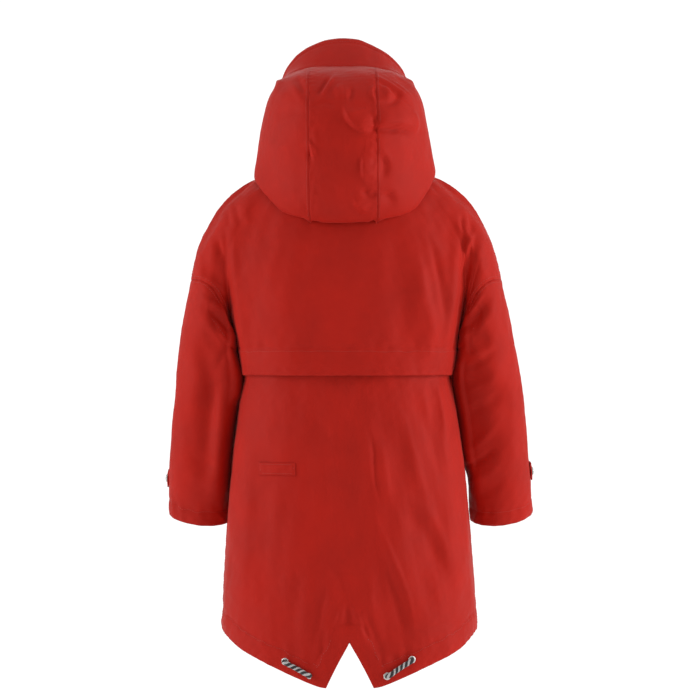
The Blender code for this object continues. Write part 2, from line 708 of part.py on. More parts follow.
def hood_sides(mat_left, mat_right):
    rows = hood_side_rows()
    cloth_piece("hood_side_left", rows, lambda c: c - Vector((0.0, 20.0, 60.0)), mat_left)
    cloth_piece("hood_side_right", mirrored(rows), lambda c: c - Vector((0.0, 20.0, 60.0)), mat_right)
    return rows


def hood_brim(mat):
    seam = hood_values(1.0)
    rise = Vector((0.0, seam[0] - seam[2], seam[1] - seam[3]))
    ahead = Vector((0.0, -rise.z, rise.y)).normalized()
    spots = [strip_spot(max(x, 0.001)) for x in levels(0.0, HOOD_STRIP, STRIP_PARTS)]
    spots += [side_spot(j / SIDE_PARTS) for j in range(1, SIDE_PARTS + 1)]
    angles = [column_angle(spot(seam, 1.0)) for spot in spots]
    half = []
    for position in VISOR_LEVELS:
        values = hood_values(position, VISOR_ROWS)
        row = []
        for angle in angles:
            free = ring_point(values, angle)
            band = ring_point(seam, angle) + ahead * BRIM_FRONT * position
            row.append(free.lerp(band, smooth(75.0, 130.0, math.degrees(angle))) + ahead * BRIM_GAP)
        row[0].x = 0.0
        row[-1].x = ZIP_GAP
        for i, angle in enumerate(angles):
            out = ring_out(values, angle)
            if i in (0, len(angles) - 1):
                out = Vector((0.0, out.y, out.z)).normalized()
            rim(row[i], out)
        half.append(row)
    rows = [low[:-1] + high for low, high in zip(mirrored(half), half)]
    cloth_piece("hood_brim", rows, lambda c: c - Vector((0.0, 0.0, 60.0)), mat)
    return half


# ------------------------------------------------------------ zip and trims
def centre_profile(front_rows, side_rows, brim_rows):
    """Outer profile of the closed front, from the hem up to the chin."""
    points = [row[0] for row in reversed(front_rows)]
    points += [row[-1] for row in side_rows] + [row[-1] for row in brim_rows]
    profile = [points[0]]
    for point in points[1:]:
        if (point - profile[-1]).length > 2.5:
            profile.append(point)
    return [Vector((0.0, p.y, p.z)) for p in profile]


def profile_out(profile, i):
    """Outward direction of the front's profile at one of its points."""
    low, high = profile[max(i - 1, 0)], profile[min(i + 1, len(profile) - 1)]
    run = (high - low).normalized()
    return Vector((0.0, -run.z, run.y))


def front_surface(x, z):
    """Closed front's outer surface at a small distance from the zip."""
    hits = []
    for name in ("front_left", "hood_side_left", "hood_brim"):
        for dz in (0.0, 0.6, -0.6):
            found = SURFACES[name].ray_cast(Vector((x, -400.0, z + dz)), Vector((0.0, 1.0, 0.0)), 380.0)
            if found[0] is not None:
                hits.append((found[0].y, found[0], found[1] if found[1].y < 0.0 else -found[1]))
                break
    return min(hits)[1:]


def zip_tape(profile, mat):
    rows = []
    last = len(profile) - 1
    for i, point in enumerate(profile):
        out = profile_out(profile, i)
        sunk = point - out * (CLOTH + TAPE_GAP)
        shift = Vector((0.0, out.z, -out.y)) * {0: 1.5, last: -1.5}.get(i, 0.0)
        half = [Vector((0.0, sunk.y, sunk.z)) + shift]
        for x in (TAPE_WIDTH / 2, TAPE_WIDTH):
            hit, normal = front_surface(x, point.z + shift.z)
            back = hit.y - (CLOTH + TAPE_GAP) / normal.y
            half.append(Vector((x, max(back, half[0].y), half[0].z)))
        rows.append([Vector((-p.x, p.y, p.z)) for p in half[:0:-1]] + half)
    cloth_piece("zip_tape", rows, lambda c: Vector((0.0, -1.0, 0.0)), mat, thickness=1.0)


def on_surface(name, x, z, side=1):
    """Point and outward direction of a finished panel, seen from one side."""
    hit, normal, _, _ = SURFACES[name].ray_cast(Vector((x, side * 400.0, z)), Vector((0.0, -side, 0.0)))
    return hit, normal if normal.y * side > 0.0 else -normal


def back_tab(mat):
    rows = []
    for z in levels(TAB_TOP, TAB_TOP - TAB_SIZE[1], 1):
        line = []
        for x in levels(TAB_X - TAB_SIZE[0] / 2, TAB_X + TAB_SIZE[0] / 2, 6):
            hit, normal = on_surface("back_panel", x, z)
            line.append(hit + normal * (TAB_SIZE[2] + 0.5))
        rows.append(line)
    cloth_piece("back_tab", rows, lambda c: Vector((0.0, 1.0, 0.0)), mat, thickness=TAB_SIZE[2])


def ring_piece(name, centre, axis, outer, hole, height, mat):
    """Small turned ring or disc that stands on a surface."""
    bm = bmesh.new()
    frame = axis.to_track_quat("Z", "Y").to_matrix()
    profile = [(hole, 0.0), (outer, 0.0), (outer, height * 0.55), (outer * 0.88, height),
               (hole + (outer - hole) * 0.25, height)]
    if hole <= 0.0:
        profile = [(0.0, 0.0), (outer, 0.0), (outer, height * 0.55), (outer * 0.82, height), (0.0, height)]
    verts = [bm.verts.new((r, 0.0, h)) for r, h in profile]
    closing = [(i, (i + 1) % len(verts)) for i in range(len(verts))]
    if hole <= 0.0:
        closing = closing[:-1]
    edges = [bm.edges.new((verts[a], verts[b])) for a, b in closing]
    bmesh.ops.spin(bm, geom=verts + edges, cent=(0, 0, 0), axis=(0, 0, 1), angle=2 * math.pi, steps=16,
                   use_merge=True, use_duplicate=False)
    bmesh.ops.remove_doubles(bm, verts=bm.verts[:], dist=1e-4)
    bmesh.ops.recalc_face_normals(bm, faces=bm.faces[:])
    for vert in bm.verts:
        vert.co = place(centre + frame @ vert.co)
    return add_object(name, bm, mat)


def hem_cord(hand, cord_mat, ring_mat):
    """A stretch of drawcord between two eyelets near the tail's edge."""
    name = "left" if hand > 0 else "right"
    spots = []
    for share in levels(0.0, 1.0, 6):
        x, z = (a + (b - a) * share for a, b in zip(*CORD_ENDS[name]))
        spots.append(on_surface("back_panel", x, z))
    for i, (hit, normal) in enumerate((spots[0], spots[-1])):
        ring_piece(f"eyelet_{name}_{i + 1}", hit + normal * 0.4, normal, *EYELET, ring_mat)
    foot = 0.4 + EYELET[2] + 0.35
    bend = CORD_DIAMETER / 2 + 1.2
    route = []
    for end, inner in ((spots[0], spots[1]), (spots[-1], spots[-2])):
        hit, normal = end
        ahead = inner[0] - hit
        ahead = (ahead - normal * ahead.dot(normal)).normalized()
        turn = [hit + normal * foot]
        for degrees in levels(0.0, 96.0, 6):
            angle = math.radians(degrees)
            rise = foot + 1.0 + bend * math.sin(angle)
            turn.append(hit + normal * rise + ahead * bend * (1.0 - math.cos(angle)))
        route.append(turn)
    middle = [hit + normal * rise for (hit, normal), rise in zip(spots[2:-2], (5.3, 4.7, 5.3))]
    points = route[0] + middle + route[1][::-1]
    curve = bpy.data.curves.new(f"hem_cord_{name}", "CURVE")
    curve.dimensions = "3D"
    curve.bevel_depth = CORD_DIAMETER / 2000.0
    curve.bevel_resolution = 3
    curve.use_fill_caps = True
    spline = curve.splines.new("POLY")
    spline.points.add(len(points) - 1)
    for slot, point in zip(spline.points, points):
        slot.co = (*place(point), 1.0)
    route = bpy.data.objects.new("cord_route", curve)
    bpy.context.collection.objects.link(route)
    bm = bmesh.new()
    bm.from_mesh(route.evaluated_get(bpy.context.evaluated_depsgraph_get()).to_mesh())
    bmesh.ops.remove_doubles(bm, verts=bm.verts[:], dist=1e-6)
    bmesh.ops.recalc_face_normals(bm, faces=bm.faces[:])
    bpy.data.objects.remove(route, do_unlink=True)
    add_object(f"hem_cord_{name}", bm, cord_mat)


def cuff_tab(arm, tab_mat, snap_mat):
    """Tab round the outer front of a cuff, with a snap near its end."""
    name = "left" if arm > 0 else "right"
    step = 360.0 / SLEEVE_SIDES
    rows = []
    for row in CUFF_TAB[arm]:
        line = []
        for degrees in (-100.0, -80.0, -60.0, -40.0, -20.0, 0.0, 6.0):
            low = math.floor(degrees / step) * step
            ends = []
            for whole in (low, low + step):
                angle = math.radians(whole)
                out = Vector((math.cos(angle), math.sin(angle), 0.0))
                ends.append(sleeve_point(arm, row, angle) + out * (CUFF_TAB_THICK + 0.5))
            line.append(ends[0].lerp(ends[1], (degrees - low) / step))
        rows.append(line)
    if arm < 0:
        rows = mirrored(rows)
    cloth_piece(f"cuff_tab_{name}", rows, lambda c: c - Vector((arm * 225.0, -45.0, c.z)), tab_mat,
                thickness=CUFF_TAB_THICK)
    middle = sum((row[-2 if arm > 0 else 1] for row in rows), Vector()) / 2
    spot = middle - Vector((0.0, 2.0, 0.0))
    hit, normal, _, _ = SURFACES[f"cuff_tab_{name}"].ray_cast(spot + Vector((arm * 60.0, 0.0, 0.0)),
                                                              Vector((-arm, 0.0, 0.0)))
    normal = normal if normal.x * arm > 0.0 else -normal
    ring_piece(f"cuff_snap_{name}", hit + normal * 0.35, normal, SNAP[0], 0.0, SNAP[1], snap_mat)


def zip_frame(profile):
    """Where the slider sits: point on the closed front, its up and out."""
    i = min(range(len(profile)), key=lambda k: abs(profile[k].z - SLIDER_Z))
    low, high = profile[i - 1], profile[i + 1]
    up = (high - low).normalized()
    centre = low + up * ((SLIDER_Z - low.z) / up.z)
    return centre, up, Vector((0.0, -up.z, up.y))


def zip_slider(profile, mat):
    """Slider on the closed front: a plate with a loop for the pull."""
    centre, up, out = zip_frame(profile)
    width, depth, height = SLIDER
    bm = bmesh.new()
    made = bmesh.ops.create_cube(bm, size=1.0)
    for vert in made["verts"]:
        x, y, z = vert.co
        wide = width * (1.0 if z > 0.0 else 0.72)
        vert.co = Vector((x * wide, 0.35 + (y + 0.5) * depth, z * height))
    bmesh.ops.bevel(bm, geom=bm.edges[:], offset=0.5, segments=1, affect="EDGES", profile=0.5)
    plate = add_object("zip_slider", bm, mat)
    loop = bmesh.new()
    ring = []
    for radius in (LOOP[0], LOOP[1]):
        ring.append([loop.verts.new((-LOOP[2] / 2, radius * math.cos(a), radius * math.sin(a)))
                     for a in (2 * math.pi * i / 24 for i in range(24))])
    edges = [loop.edges.new((circle[i], circle[(i + 1) % 24])) for circle in ring for i in range(24)]
    face = bmesh.ops.bridge_loops(loop, edges=edges)["faces"]
    grown = bmesh.ops.extrude_face_region(loop, geom=face, use_keep_orig=True)["geom"]
    for vert in grown:
        if isinstance(vert, bmesh.types.BMVert):
            vert.co.x += LOOP[2]
    bmesh.ops.recalc_face_normals(loop, faces=loop.faces[:])
    for vert in loop.verts:
        vert.co.y += 0.35 + depth + LOOP[0] - 0.3
    helper = add_object("zip_slider_loop", loop, mat)
    union = plate.modifiers.new("Loop", "BOOLEAN")
    union.operation = "UNION"
    union.solver = "EXACT"
    union.object = helper
    graph = bpy.context.evaluated_depsgraph_get()
    whole = bmesh.new()
    whole.from_mesh(plate.evaluated_get(graph).to_mesh())
    bpy.data.objects.remove(helper, do_unlink=True)
    bpy.data.objects.remove(plate, do_unlink=True)
    for vert in whole.verts:
        x, y, z = vert.co
        vert.co = place(centre + Vector((-x, 0.0, 0.0)) + out * y + up * z)
    bmesh.ops.recalc_face_normals(whole, faces=whole.faces[:])
    if whole.calc_volume(signed=True) < 0.0:
        bmesh.ops.reverse_faces(whole, faces=whole.faces[:])
    add_object("zip_slider", whole, mat)


def zip_pull(profile, mat):
    """Pull tab that hangs from the slider's loop and swings on it."""
    centre, up, out = zip_frame(profile)
    hinge = place(centre + out * (0.35 + SLIDER[1] + LOOP[0] - 0.3))
    width, thick, length = PULL
    bar = thick / 2
    xs = (-width / 2, -LOOP[2] / 2 - 0.4, LOOP[2] / 2 + 0.4, width / 2)
    zs = (bar, -bar, -LOOP[1] - 0.6, -length + 2.0, -length)
    bm = bmesh.new()
    bmesh.ops.create_grid(bm, x_segments=3, y_segments=4, size=1.0)
    bm.verts.ensure_lookup_table()
    for i, z in enumerate(zs):
        for j, x in enumerate(xs):
            slim = 1.0 if i < 4 else 0.6
            bm.verts[i * 4 + j].co = Vector((x * slim, -bar, z))
    bm.faces.ensure_lookup_table()
    window = [f for f in bm.faces if abs(f.calc_center_median().x) < 0.1
              and zs[2] < f.calc_center_median().z < zs[1]]
    bmesh.ops.delete(bm, geom=window, context="FACES")
    grown = bmesh.ops.extrude_face_region(bm, geom=bm.faces[:], use_keep_orig=True)["geom"]
    for vert in grown:
        if isinstance(vert, bmesh.types.BMVert):
            vert.co.y += thick
    bmesh.ops.recalc_face_normals(bm, faces=bm.faces[:])
    for vert in bm.verts:
        vert.co = vert.co / 1000.0
    pull = add_object("zip_pull", bm, mat)
    pull.location = hinge


# --------------------------------------------------------------------- main
def build():
    for obj in list(bpy.data.objects):
        bpy.data.objects.remove(obj, do_unlink=True)
    red = (0.36, 0.018, 0.012)
    steel = (0.62, 0.62, 0.60)
    cloth = {name: material(name, red, 0.55) for name in (
        "back_yoke", "back_panel", "front_left", "front_right", "sleeve_left", "sleeve_right",
        "hood_center", "hood_side_left", "hood_side_right", "hood_brim", "back_tab",
        "cuff_tab_left", "cuff_tab_right")}
    back_yoke(cloth["back_yoke"])
    back_panel(cloth["back_panel"])
    front_rows = fronts(cloth["front_left"], cloth["front_right"])
    sleeve("sleeve_left", 1, cloth["sleeve_left"])
    sleeve("sleeve_right", -1, cloth["sleeve_right"])
    hood_center(cloth["hood_center"])
    side_rows = hood_sides(cloth["hood_side_left"], cloth["hood_side_right"])
    brim_rows = hood_brim(cloth["hood_brim"])
    profile = centre_profile(front_rows, side_rows, brim_rows)
    zip_tape(profile, material("zip_tape", (0.22, 0.012, 0.010), 0.6))
    zip_slider(profile, material("zip_slider", steel, 0.3, 1.0))
    zip_pull(profile, material("zip_pull", steel, 0.3, 1.0))
    back_tab(cloth["back_tab"])
    for hand, name in ((1, "left"), (-1, "right")):
        hem_cord(hand, material(f"hem_cord_{name}", (0.05, 0.05, 0.05), 0.7),
                 material(f"eyelet_{name}", steel, 0.3, 1.0))
        cuff_tab(hand, cloth[f"cuff_tab_{name}"], material(f"cuff_snap_{name}", steel, 0.3, 1.0))


build()
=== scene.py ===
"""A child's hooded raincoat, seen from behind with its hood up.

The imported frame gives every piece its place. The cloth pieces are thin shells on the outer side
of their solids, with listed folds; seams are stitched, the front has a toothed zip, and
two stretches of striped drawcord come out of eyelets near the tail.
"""
import math

import bmesh
import bpy
import numpy as np
from mathutils import Matrix, Vector
from mathutils.bvhtree import BVHTree
from mathutils.kdtree import KDTree


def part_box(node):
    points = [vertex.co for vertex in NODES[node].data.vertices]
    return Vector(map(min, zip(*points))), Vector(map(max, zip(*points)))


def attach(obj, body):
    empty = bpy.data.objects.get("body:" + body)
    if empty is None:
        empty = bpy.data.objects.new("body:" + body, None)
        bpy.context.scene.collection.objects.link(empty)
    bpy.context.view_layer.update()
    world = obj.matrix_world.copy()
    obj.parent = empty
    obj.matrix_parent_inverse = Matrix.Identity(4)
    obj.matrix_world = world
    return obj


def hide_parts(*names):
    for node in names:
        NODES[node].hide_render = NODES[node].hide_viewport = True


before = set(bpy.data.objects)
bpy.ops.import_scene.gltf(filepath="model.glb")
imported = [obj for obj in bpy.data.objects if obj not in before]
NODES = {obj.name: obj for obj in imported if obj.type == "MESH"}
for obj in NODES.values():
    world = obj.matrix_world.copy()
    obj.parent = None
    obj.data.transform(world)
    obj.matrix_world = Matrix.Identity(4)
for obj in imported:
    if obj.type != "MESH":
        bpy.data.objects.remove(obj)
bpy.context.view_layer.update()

bl_info = {
    "name": "Child's raincoat",
    "version": (1, 0, 0),
    "blender": (4, 5, 0),
    "location": "3D View > Sidebar > Raincoat",
    "description": "Makes a hooded raincoat with a storm flap, a fishtail hem, a zip and a drawcord",
    "category": "Object",
}

MM = 0.001
LEAN = 0.0095           # sideways lean of the hanging coat, mm per mm of height
FAR = 60.0              # distances to an edge are kept up to this, mm
CLOTH = 2.4             # thickness of the solids' cloth, mm
SEWN = 1.9              # an edge this near to another piece is sewn to it, mm
MEET = 0.56             # share of the gap that a sewn edge moves toward its neighbour
CORNER = 28.0           # an edge that turns more than this keeps its corner, degrees
FITS = 3                # passes that bring the smooth sheet onto its form
MELTS = 9               # passes that let the cloth bridge the valley at a shoulder
SEAM_HOLD = 8.0         # a seam holds the folds down about this far from it, mm
SHORTEST = 12.0         # an edge shorter than this gets no stitches, mm
# Small unevenness of the cloth: height and length in mm, and how much slimmer it is upward.
WAVES = ((0.75, 92.0, 1.8), (0.34, 34.0, 2.2), (0.12, 15.0, 1.0))
# Weave maps: the middle (x, y) that they go round and their radius, in mm.
BODY_MAP = ((0.0, -12.0), 150.0)
HOOD_MAP = ((0.0, 20.0), 105.0)
ARM_MAPS = {side: ((side * 222.0, -35.0), 46.0) for side in (1.0, -1.0)}
WHITE = (1.0, 1.0, 1.0, 1.0)

# Folds on the side that faces +Y. Each line is one fold: half width, height and skew, then the x
# and z of the points that it runs through, in mm.
BACK_FOLDS = {
    "back_yoke": """
5 -2 0  177 -41  177 -116  171 -182  163 -246  149 -280
8 3.2 0.3  166 -50  164 -119  157 -189  148 -250  142 -280
4 -3.6 0  -175 -47  -174 -116  -171 -189  -162 -246  -155 -280
8 2.6 -0.3  -162 -54  -161 -119  -156 -192  -147 -250  -146 -280
9 3.2 0.5  -101 -84  -115 -151  -130 -218  -137 -271
6 -3 -0.3  -124 -78  -139 -145  -150 -224
13 -1.5 0  -68 -65  -82 -138  -93 -211
12 1 0  -45 -75  -57 -160  -63 -233
10 -0.9 0  145 -60  141 -160  139 -242
12 0.8 0  122 -66  113 -160  113 -233
16 -0.5 0  66 -81  62 -174  65 -240
5 -3.2 0.3  189 -81  187 -95  182 -113
8 1.8 0  198 -69  199 -101  193 -130
4.5 -2.2 0  166 -27  161 -43  155 -62
3.5 -1.6 0  176 -38  174 -52  171 -66
4.5 1.4 0  149 -33  145 -49  142 -66
4 3.4 0.8  -193 -71  -184 -91  -175 -113
3.2 -2.8 0  -174 -46  -174 -60  -175 -75
4 -2.4 -0.4  -183 -46  -188 -60  -187 -75
6 -4.6 -0.3  -188 -84  -184 -113  -178 -151
8 2 0  -206 -119  -203 -152  -194 -174
7 -1 0  215 -119  204 -128  180 -139
6 1.2 0.4  206 -138  192 -150  173 -163
""",
    "back_panel": """
4.5 2.6 0  -134 -285  -140 -320  -148 -379
5 -1.6 0  -122 -288  -127 -326  -132 -364
3.2 -1.6 0.5  -27 -355  -41 -387  -45 -440  -59 -486
8 1.6 0.2  -39 -361  -54 -396  -62 -451  -77 -495
10 2.6 0.5  -74 -309  -94 -379  -118 -466  -144 -536  -161 -571
10 -2.6 -0.2  -97 -297  -121 -364  -142 -428  -156 -445
10 -2.4 0  -68 -466  -109 -507  -141 -562  -160 -617
8 1.2 0.2  -80 -445  -118 -486  -150 -524
6.5 2.8 0.7  -42 -489  -68 -547  -89 -600  -102 -652
7 -2.4 -0.3  -57 -553  -74 -611  -86 -667
10 1.6 0  -115 -553  -135 -611  -147 -664
5 2.2 0.6  -9 -606  -22 -646  -35 -684
5 -2 -0.3  -26 -611  -39 -655  -54 -687
5 2 -0.6  0 -611  13 -643  29 -673
6 -1.8 0.2  24 -576  35 -626  47 -684
8 -1 0  10 -559  -1 -606  -6 -664
10 1 0  48 -553  61 -626  69 -687
5 -0.9 -0.4  25 -569  -3 -576  -30 -572
12 1.1 0  139 -320  143 -437  147 -553  156 -641
10 -1 0  112 -317  115 -422  121 -553  127 -655
12 0.8 0  77 -451  83 -553  89 -658
16 -0.7 0  40 -309  37 -393  40 -524
14 0.7 0  13 -303  5 -393  -10 -495
8 1.4 0  -170 -326  -176 -422  -179 -524  -182 -626
6 -1.2 0.3  -167 -641  -129 -652  -91 -661
6 -0.9 0.3  159 -641  144 -661  121 -681
4 1.6 0.3  -39 -687  -57 -699  -48 -716
4 -1.2 0.3  -62 -687  -77 -699  -71 -710
4 1.1 0.3  22 -684  34 -699  28 -719
6 -0.7 0.3  66 -422  72 -448  80 -466
5 -0.6 0.3  80 -428  101 -440  127 -445
""",
    "hood_back": """
3.4 -2 0  22 155  32 137  41 120
3.2 2 0  15 155  25 136  34 118
8.5 2.8 -0.4  16 137  9 129  5 114
3.6 -1.3 0  -9 137  -9 124  -4 111
14 4.4 -1.25  -1 111  -3 94  -14 79  -36 66
4 -0.8 0  2 105  0 89  -11 75  -32 62
13 5.6 -1.35  -36 78  -62 81  -86 81  -103 78
3.2 -4.4 0  -30 70  -62 73  -86 73  -106 67
5.5 3 0.3  -92 105  -103 89  -100 67
3.4 -3.6 0  -74 134  -76 121  -65 111  -49 114
5 3 0  -54 140  -61 129  -61 116
3.4 2.6 0  -42 156  -71 137  -100 114
3.2 -2 0  -42 148  -71 130  -97 107
2.5 1.6 0  -62 152  -83 136  -100 121
9 3.8 -1.2  -27 38  -25 18  -30 -5
5.5 -3.6 0  -49 38  -58 21  -51 0
3 -1.2 0  -23 32  -22 21  -23 9
3.5 1.8 0  -45 44  -60 35  -64 21
4.6 -3.4 0  -22 -13  -36 -22  -52 -17
8 3 -0.8  -13 -23  -19 -36  -33 -46
4.5 -3.6 0  -51 -20  -67 -24  -62 -35
4.5 2 0  -51 -11  -68 -14  -78 -24
3 2 0.4  -41 140  -38 126  -42 111
2.8 -2.4 0  -38 91  -42 79  -38 67
2.8 2.8 0  53 59  47 46  43 31
2.4 -2.6 0  54 46  51 35  47 27
5 1.2 0  48 76  41 59  43 41
3 -2.4 0  60 -32  57 -43  53 -54
3 1.4 0  66 -26  63 -38  63 -46
7 -1.2 0  110 100  83 102  60 97
9 1 0  121 59  95 50  66 56
5 1.6 0  83 149  70 129  59 108
3.5 -1.4 0  72 155  63 140  57 123
9 0.9 0  113 0  86 -14  63 -23
3.5 -1.2 0  48 105  29 111  13 105
10 -0.8 0  37 0  16 -14  5 -38
""",
    "brim": """
8 0.8 0  35 216  41 198  44 183
7 -0.8 0  -46 216  -40 201  -39 186
8 0.8 0  -59 213  -54 196  -52 180
7 -0.6 0  69 198  75 183  81 168
""",
    "sleeve_left": """
5 -3.6 -0.5  206 -183  190 -200  167 -224
8 3 0.5  217 -191  199 -212  169 -242
6 2 0.4  220 -167  202 -174  178 -188
6 -2 0  163 -233  178 -250  193 -280
12 1.6 0  231 -218  223 -280  228 -352
9 -2 0.3  205 -256  199 -328  208 -400
9 1.8 0  190 -292  187 -367  196 -441
8 -1.4 0.3  237 -400  217 -414  184 -423
9 1.4 0  243 -426  220 -441  181 -450
8 0.9 0  252 -322  243 -382  246 -438
""",
    "sleeve_right": """
5 3.4 0.7  -208 -158  -192 -182  -175 -206
6 -3.6 -0.5  -210 -176  -192 -200  -174 -224
8 1.8 0  -225 -173  -210 -200  -192 -227
5 -2.6 -0.5  -219 -250  -204 -262  -183 -274
6 2.4 0.3  -225 -242  -207 -248  -183 -256
7 1.8 0.3  -231 -280  -210 -298  -177 -310
8 -2.2 -0.3  -237 -310  -213 -328  -180 -340
7 2.2 0.4  -231 -352  -207 -382  -180 -406
5 -2.8 -0.4  -228 -391  -204 -411  -177 -426
8 1.8 0  -234 -414  -210 -435  -183 -450
9 1.2 0  -252 -292  -254 -367  -249 -441
7 -1.4 0  -243 -438  -216 -459  -195 -471
""",
}
# Folds on the side that faces -Y, for the left half; the right half gets them mirrored.
FRONT_FOLDS = {
    "front": """
8 1.7 0.3  158 -150  126 -188  88 -214
9 -1.7 0  160 -178  130 -226  102 -264
8 1.4 0  164 -214  146 -262  136 -318
14 1 0  42 -118  48 -262  42 -424
13 1.6 0.3  92 -204  99 -384  90 -566
12 -1.6 0  120 -262  131 -432  127 -604
10 1.3 0  150 -244  159 -404  162 -566
9 1 0  28 -432  35 -544  29 -642
9 -1 0  62 -472  71 -564  64 -642
10 -1 0.3  164 -330  124 -378  82 -398
10 -0.9 0  58 -56  62 -100  54 -150
""",
    "sleeve": """
6 -2.6 -0.4  208 -196  190 -214  170 -240
8 2.4 0.4  218 -208  200 -232  174 -262
7 2 0.3  232 -262  216 -286  190 -300
8 -2 -0.3  238 -296  216 -318  190 -330
8 1.8 0.3  240 -342  214 -362  190 -380
7 -1.6 0  244 -392  224 -412  200 -424
""",
    "hood": """
9 -1.2 0  92 22  100 60  92 104
9 1.2 0  70 -22  82 6  78 48
8 -0.9 0  40 -30  50 -6  46 30
""",
}

LIGHTS = (
    # name, place, (width, height), watts
    ("side_right", (-2.5, 0.5, 0.4), (0.8, 2.0), 43.0),
    ("side_left", (2.5, 0.5, 0.4), (0.8, 2.0), 32.0),
    ("top", (0.0, 0.8, 2.6), (1.2, 1.0), 8.0),
    ("front_fill", (0.0, -3.4, 1.4), (2.0, 1.4), 24.0),
)
AIM = Vector((0.0, 0.0, -0.2))      # what the lights point at
CAMERA = (-0.00705, 4.0, -0.2475)   # straight behind the coat's back
LENS = 137.14                       # focal length on a 36 mm wide sensor, mm
FLOOR = -1.05                       # height of the floor


# ------------------------------------------------------------------ what a user would change
class RaincoatSizes(bpy.types.PropertyGroup):
    """Sizes of the cloth and the trims."""
    shell: bpy.props.FloatProperty(
        name="Shell", description="Thickness of the sewn cloth", default=0.0018, unit="LENGTH")
    stitch: bpy.props.FloatProperty(
        name="Stitch", description="Length of one stitch", default=0.0030, unit="LENGTH")
    stitch_gap: bpy.props.FloatProperty(
        name="Stitch gap", description="Gap between two stitches", default=0.0011, unit="LENGTH")
    thread: bpy.props.FloatProperty(
        name="Thread", description="Thickness of the sewing thread", default=0.0006, unit="LENGTH")
    tooth_pitch: bpy.props.FloatProperty(
        name="Tooth pitch", description="Distance from one zip tooth to the next on a side",
        default=0.0030, unit="LENGTH")
    cord: bpy.props.FloatProperty(
        name="Cord", description="Diameter of the hem drawcord", default=0.0072, unit="LENGTH")
    fold_depth: bpy.props.FloatProperty(
        name="Fold depth", description="Factor on the height of the folds", default=1.0,
        min=0.0, max=1.5, subtype="FACTOR")


class RaincoatColours(bpy.types.PropertyGroup):
    """Colours of the cloth and the trims."""
    cloth: bpy.props.FloatVectorProperty(
        name="Cloth", description="Colour of the shell cloth", size=3, subtype="COLOR",
        default=(0.420, 0.0092, 0.0030))
    tape: bpy.props.FloatVectorProperty(
        name="Zip tape", description="Colour of the zip's woven tape", size=3, subtype="COLOR",
        default=(0.200, 0.0110, 0.0080))
    thread: bpy.props.FloatVectorProperty(
        name="Thread", description="Colour of the sewing thread", size=3, subtype="COLOR",
        default=(0.430, 0.0300, 0.0200))
    metal: bpy.props.FloatVectorProperty(
        name="Metal", description="Colour of the satin metal trims", size=3, subtype="COLOR",
        default=(0.620, 0.610, 0.590))
    cord_dark: bpy.props.FloatVectorProperty(
        name="Cord, dark", description="Ground colour of the drawcord", size=3, subtype="COLOR",
        default=(0.012, 0.011, 0.012))
    cord_light: bpy.props.FloatVectorProperty(
        name="Cord, light", description="Colour of the drawcord's stripes", size=3, subtype="COLOR",
        default=(0.66, 0.65, 0.64))


def sizes():
    return bpy.context.scene.raincoat_sizes


def colours():
    return bpy.context.scene.raincoat_colours


# ------------------------------------------------------------------------------- materials
class Wire:
    """A number socket that Python's signs work on, each adding its Math node."""

    def __init__(self, finish, socket):
        self.finish = finish
        self.socket = socket

    def maths(self, operation, *values):
        node = self.finish.node("ShaderNodeMath", {"operation": operation},
                                dict(enumerate(values)))
        return Wire(self.finish, node.outputs[0])

    def __add__(self, other):
        return self.maths("ADD", self, other)

    def __radd__(self, other):
        return self.maths("ADD", other, self)

    def __sub__(self, other):
        return self.maths("SUBTRACT", self, other)

    def __rsub__(self, other):
        return self.maths("SUBTRACT", other, self)

    def __mul__(self, other):
        return self.maths("MULTIPLY", self, other)

    def __rmul__(self, other):
        return self.maths("MULTIPLY", other, self)

    def __truediv__(self, other):
        return self.maths("DIVIDE", self, other)

    def __rtruediv__(self, other):
        return self.maths("DIVIDE", other, self)

    def sine(self):
        return self.maths("SINE", self)

    def remainder(self):
        return self.maths("FRACT", self)


class Nodes:
    """A node tree in the making."""

    def __init__(self, tree):
        self.tree = tree

    def node(self, kind, settings=(), sockets=()):
        """A node of one type: its settings first, then its sockets' values or links."""
        made = self.tree.nodes.new(kind)
        for key, value in dict(settings).items():
            if key == "stops":
                ramp = made.color_ramp.elements
                while len(ramp) < len(value):
                    ramp.new(0.5)
                for stop, (position, tone) in zip(ramp, value):
                    stop.position = position
                    stop.color = tone
            else:
                setattr(made, key, value)
        for key, value in dict(sockets).items():
            self.feed(made.inputs[key], value)
        return made

    def feed(self, socket, value):
        value = value.socket if isinstance(value, Wire) else value
        if isinstance(value, bpy.types.NodeSocket):
            self.tree.links.new(value, socket)
        elif value is not None:
            socket.default_value = value

    def white_to_camera(self, kind, lit, output):
        """The camera sees plain white, while the light still comes from the lit shader."""
        white = self.node(kind, (), {"Color": WHITE, "Strength": 1.1})
        seen = self.node("ShaderNodeLightPath").outputs["Is Camera Ray"]
        pick = self.node("ShaderNodeMixShader", (), {0: seen, 1: lit.outputs[0],
                                                     2: white.outputs[0]})
        self.feed(self.tree.nodes[output].inputs["Surface"], pick.outputs[0])


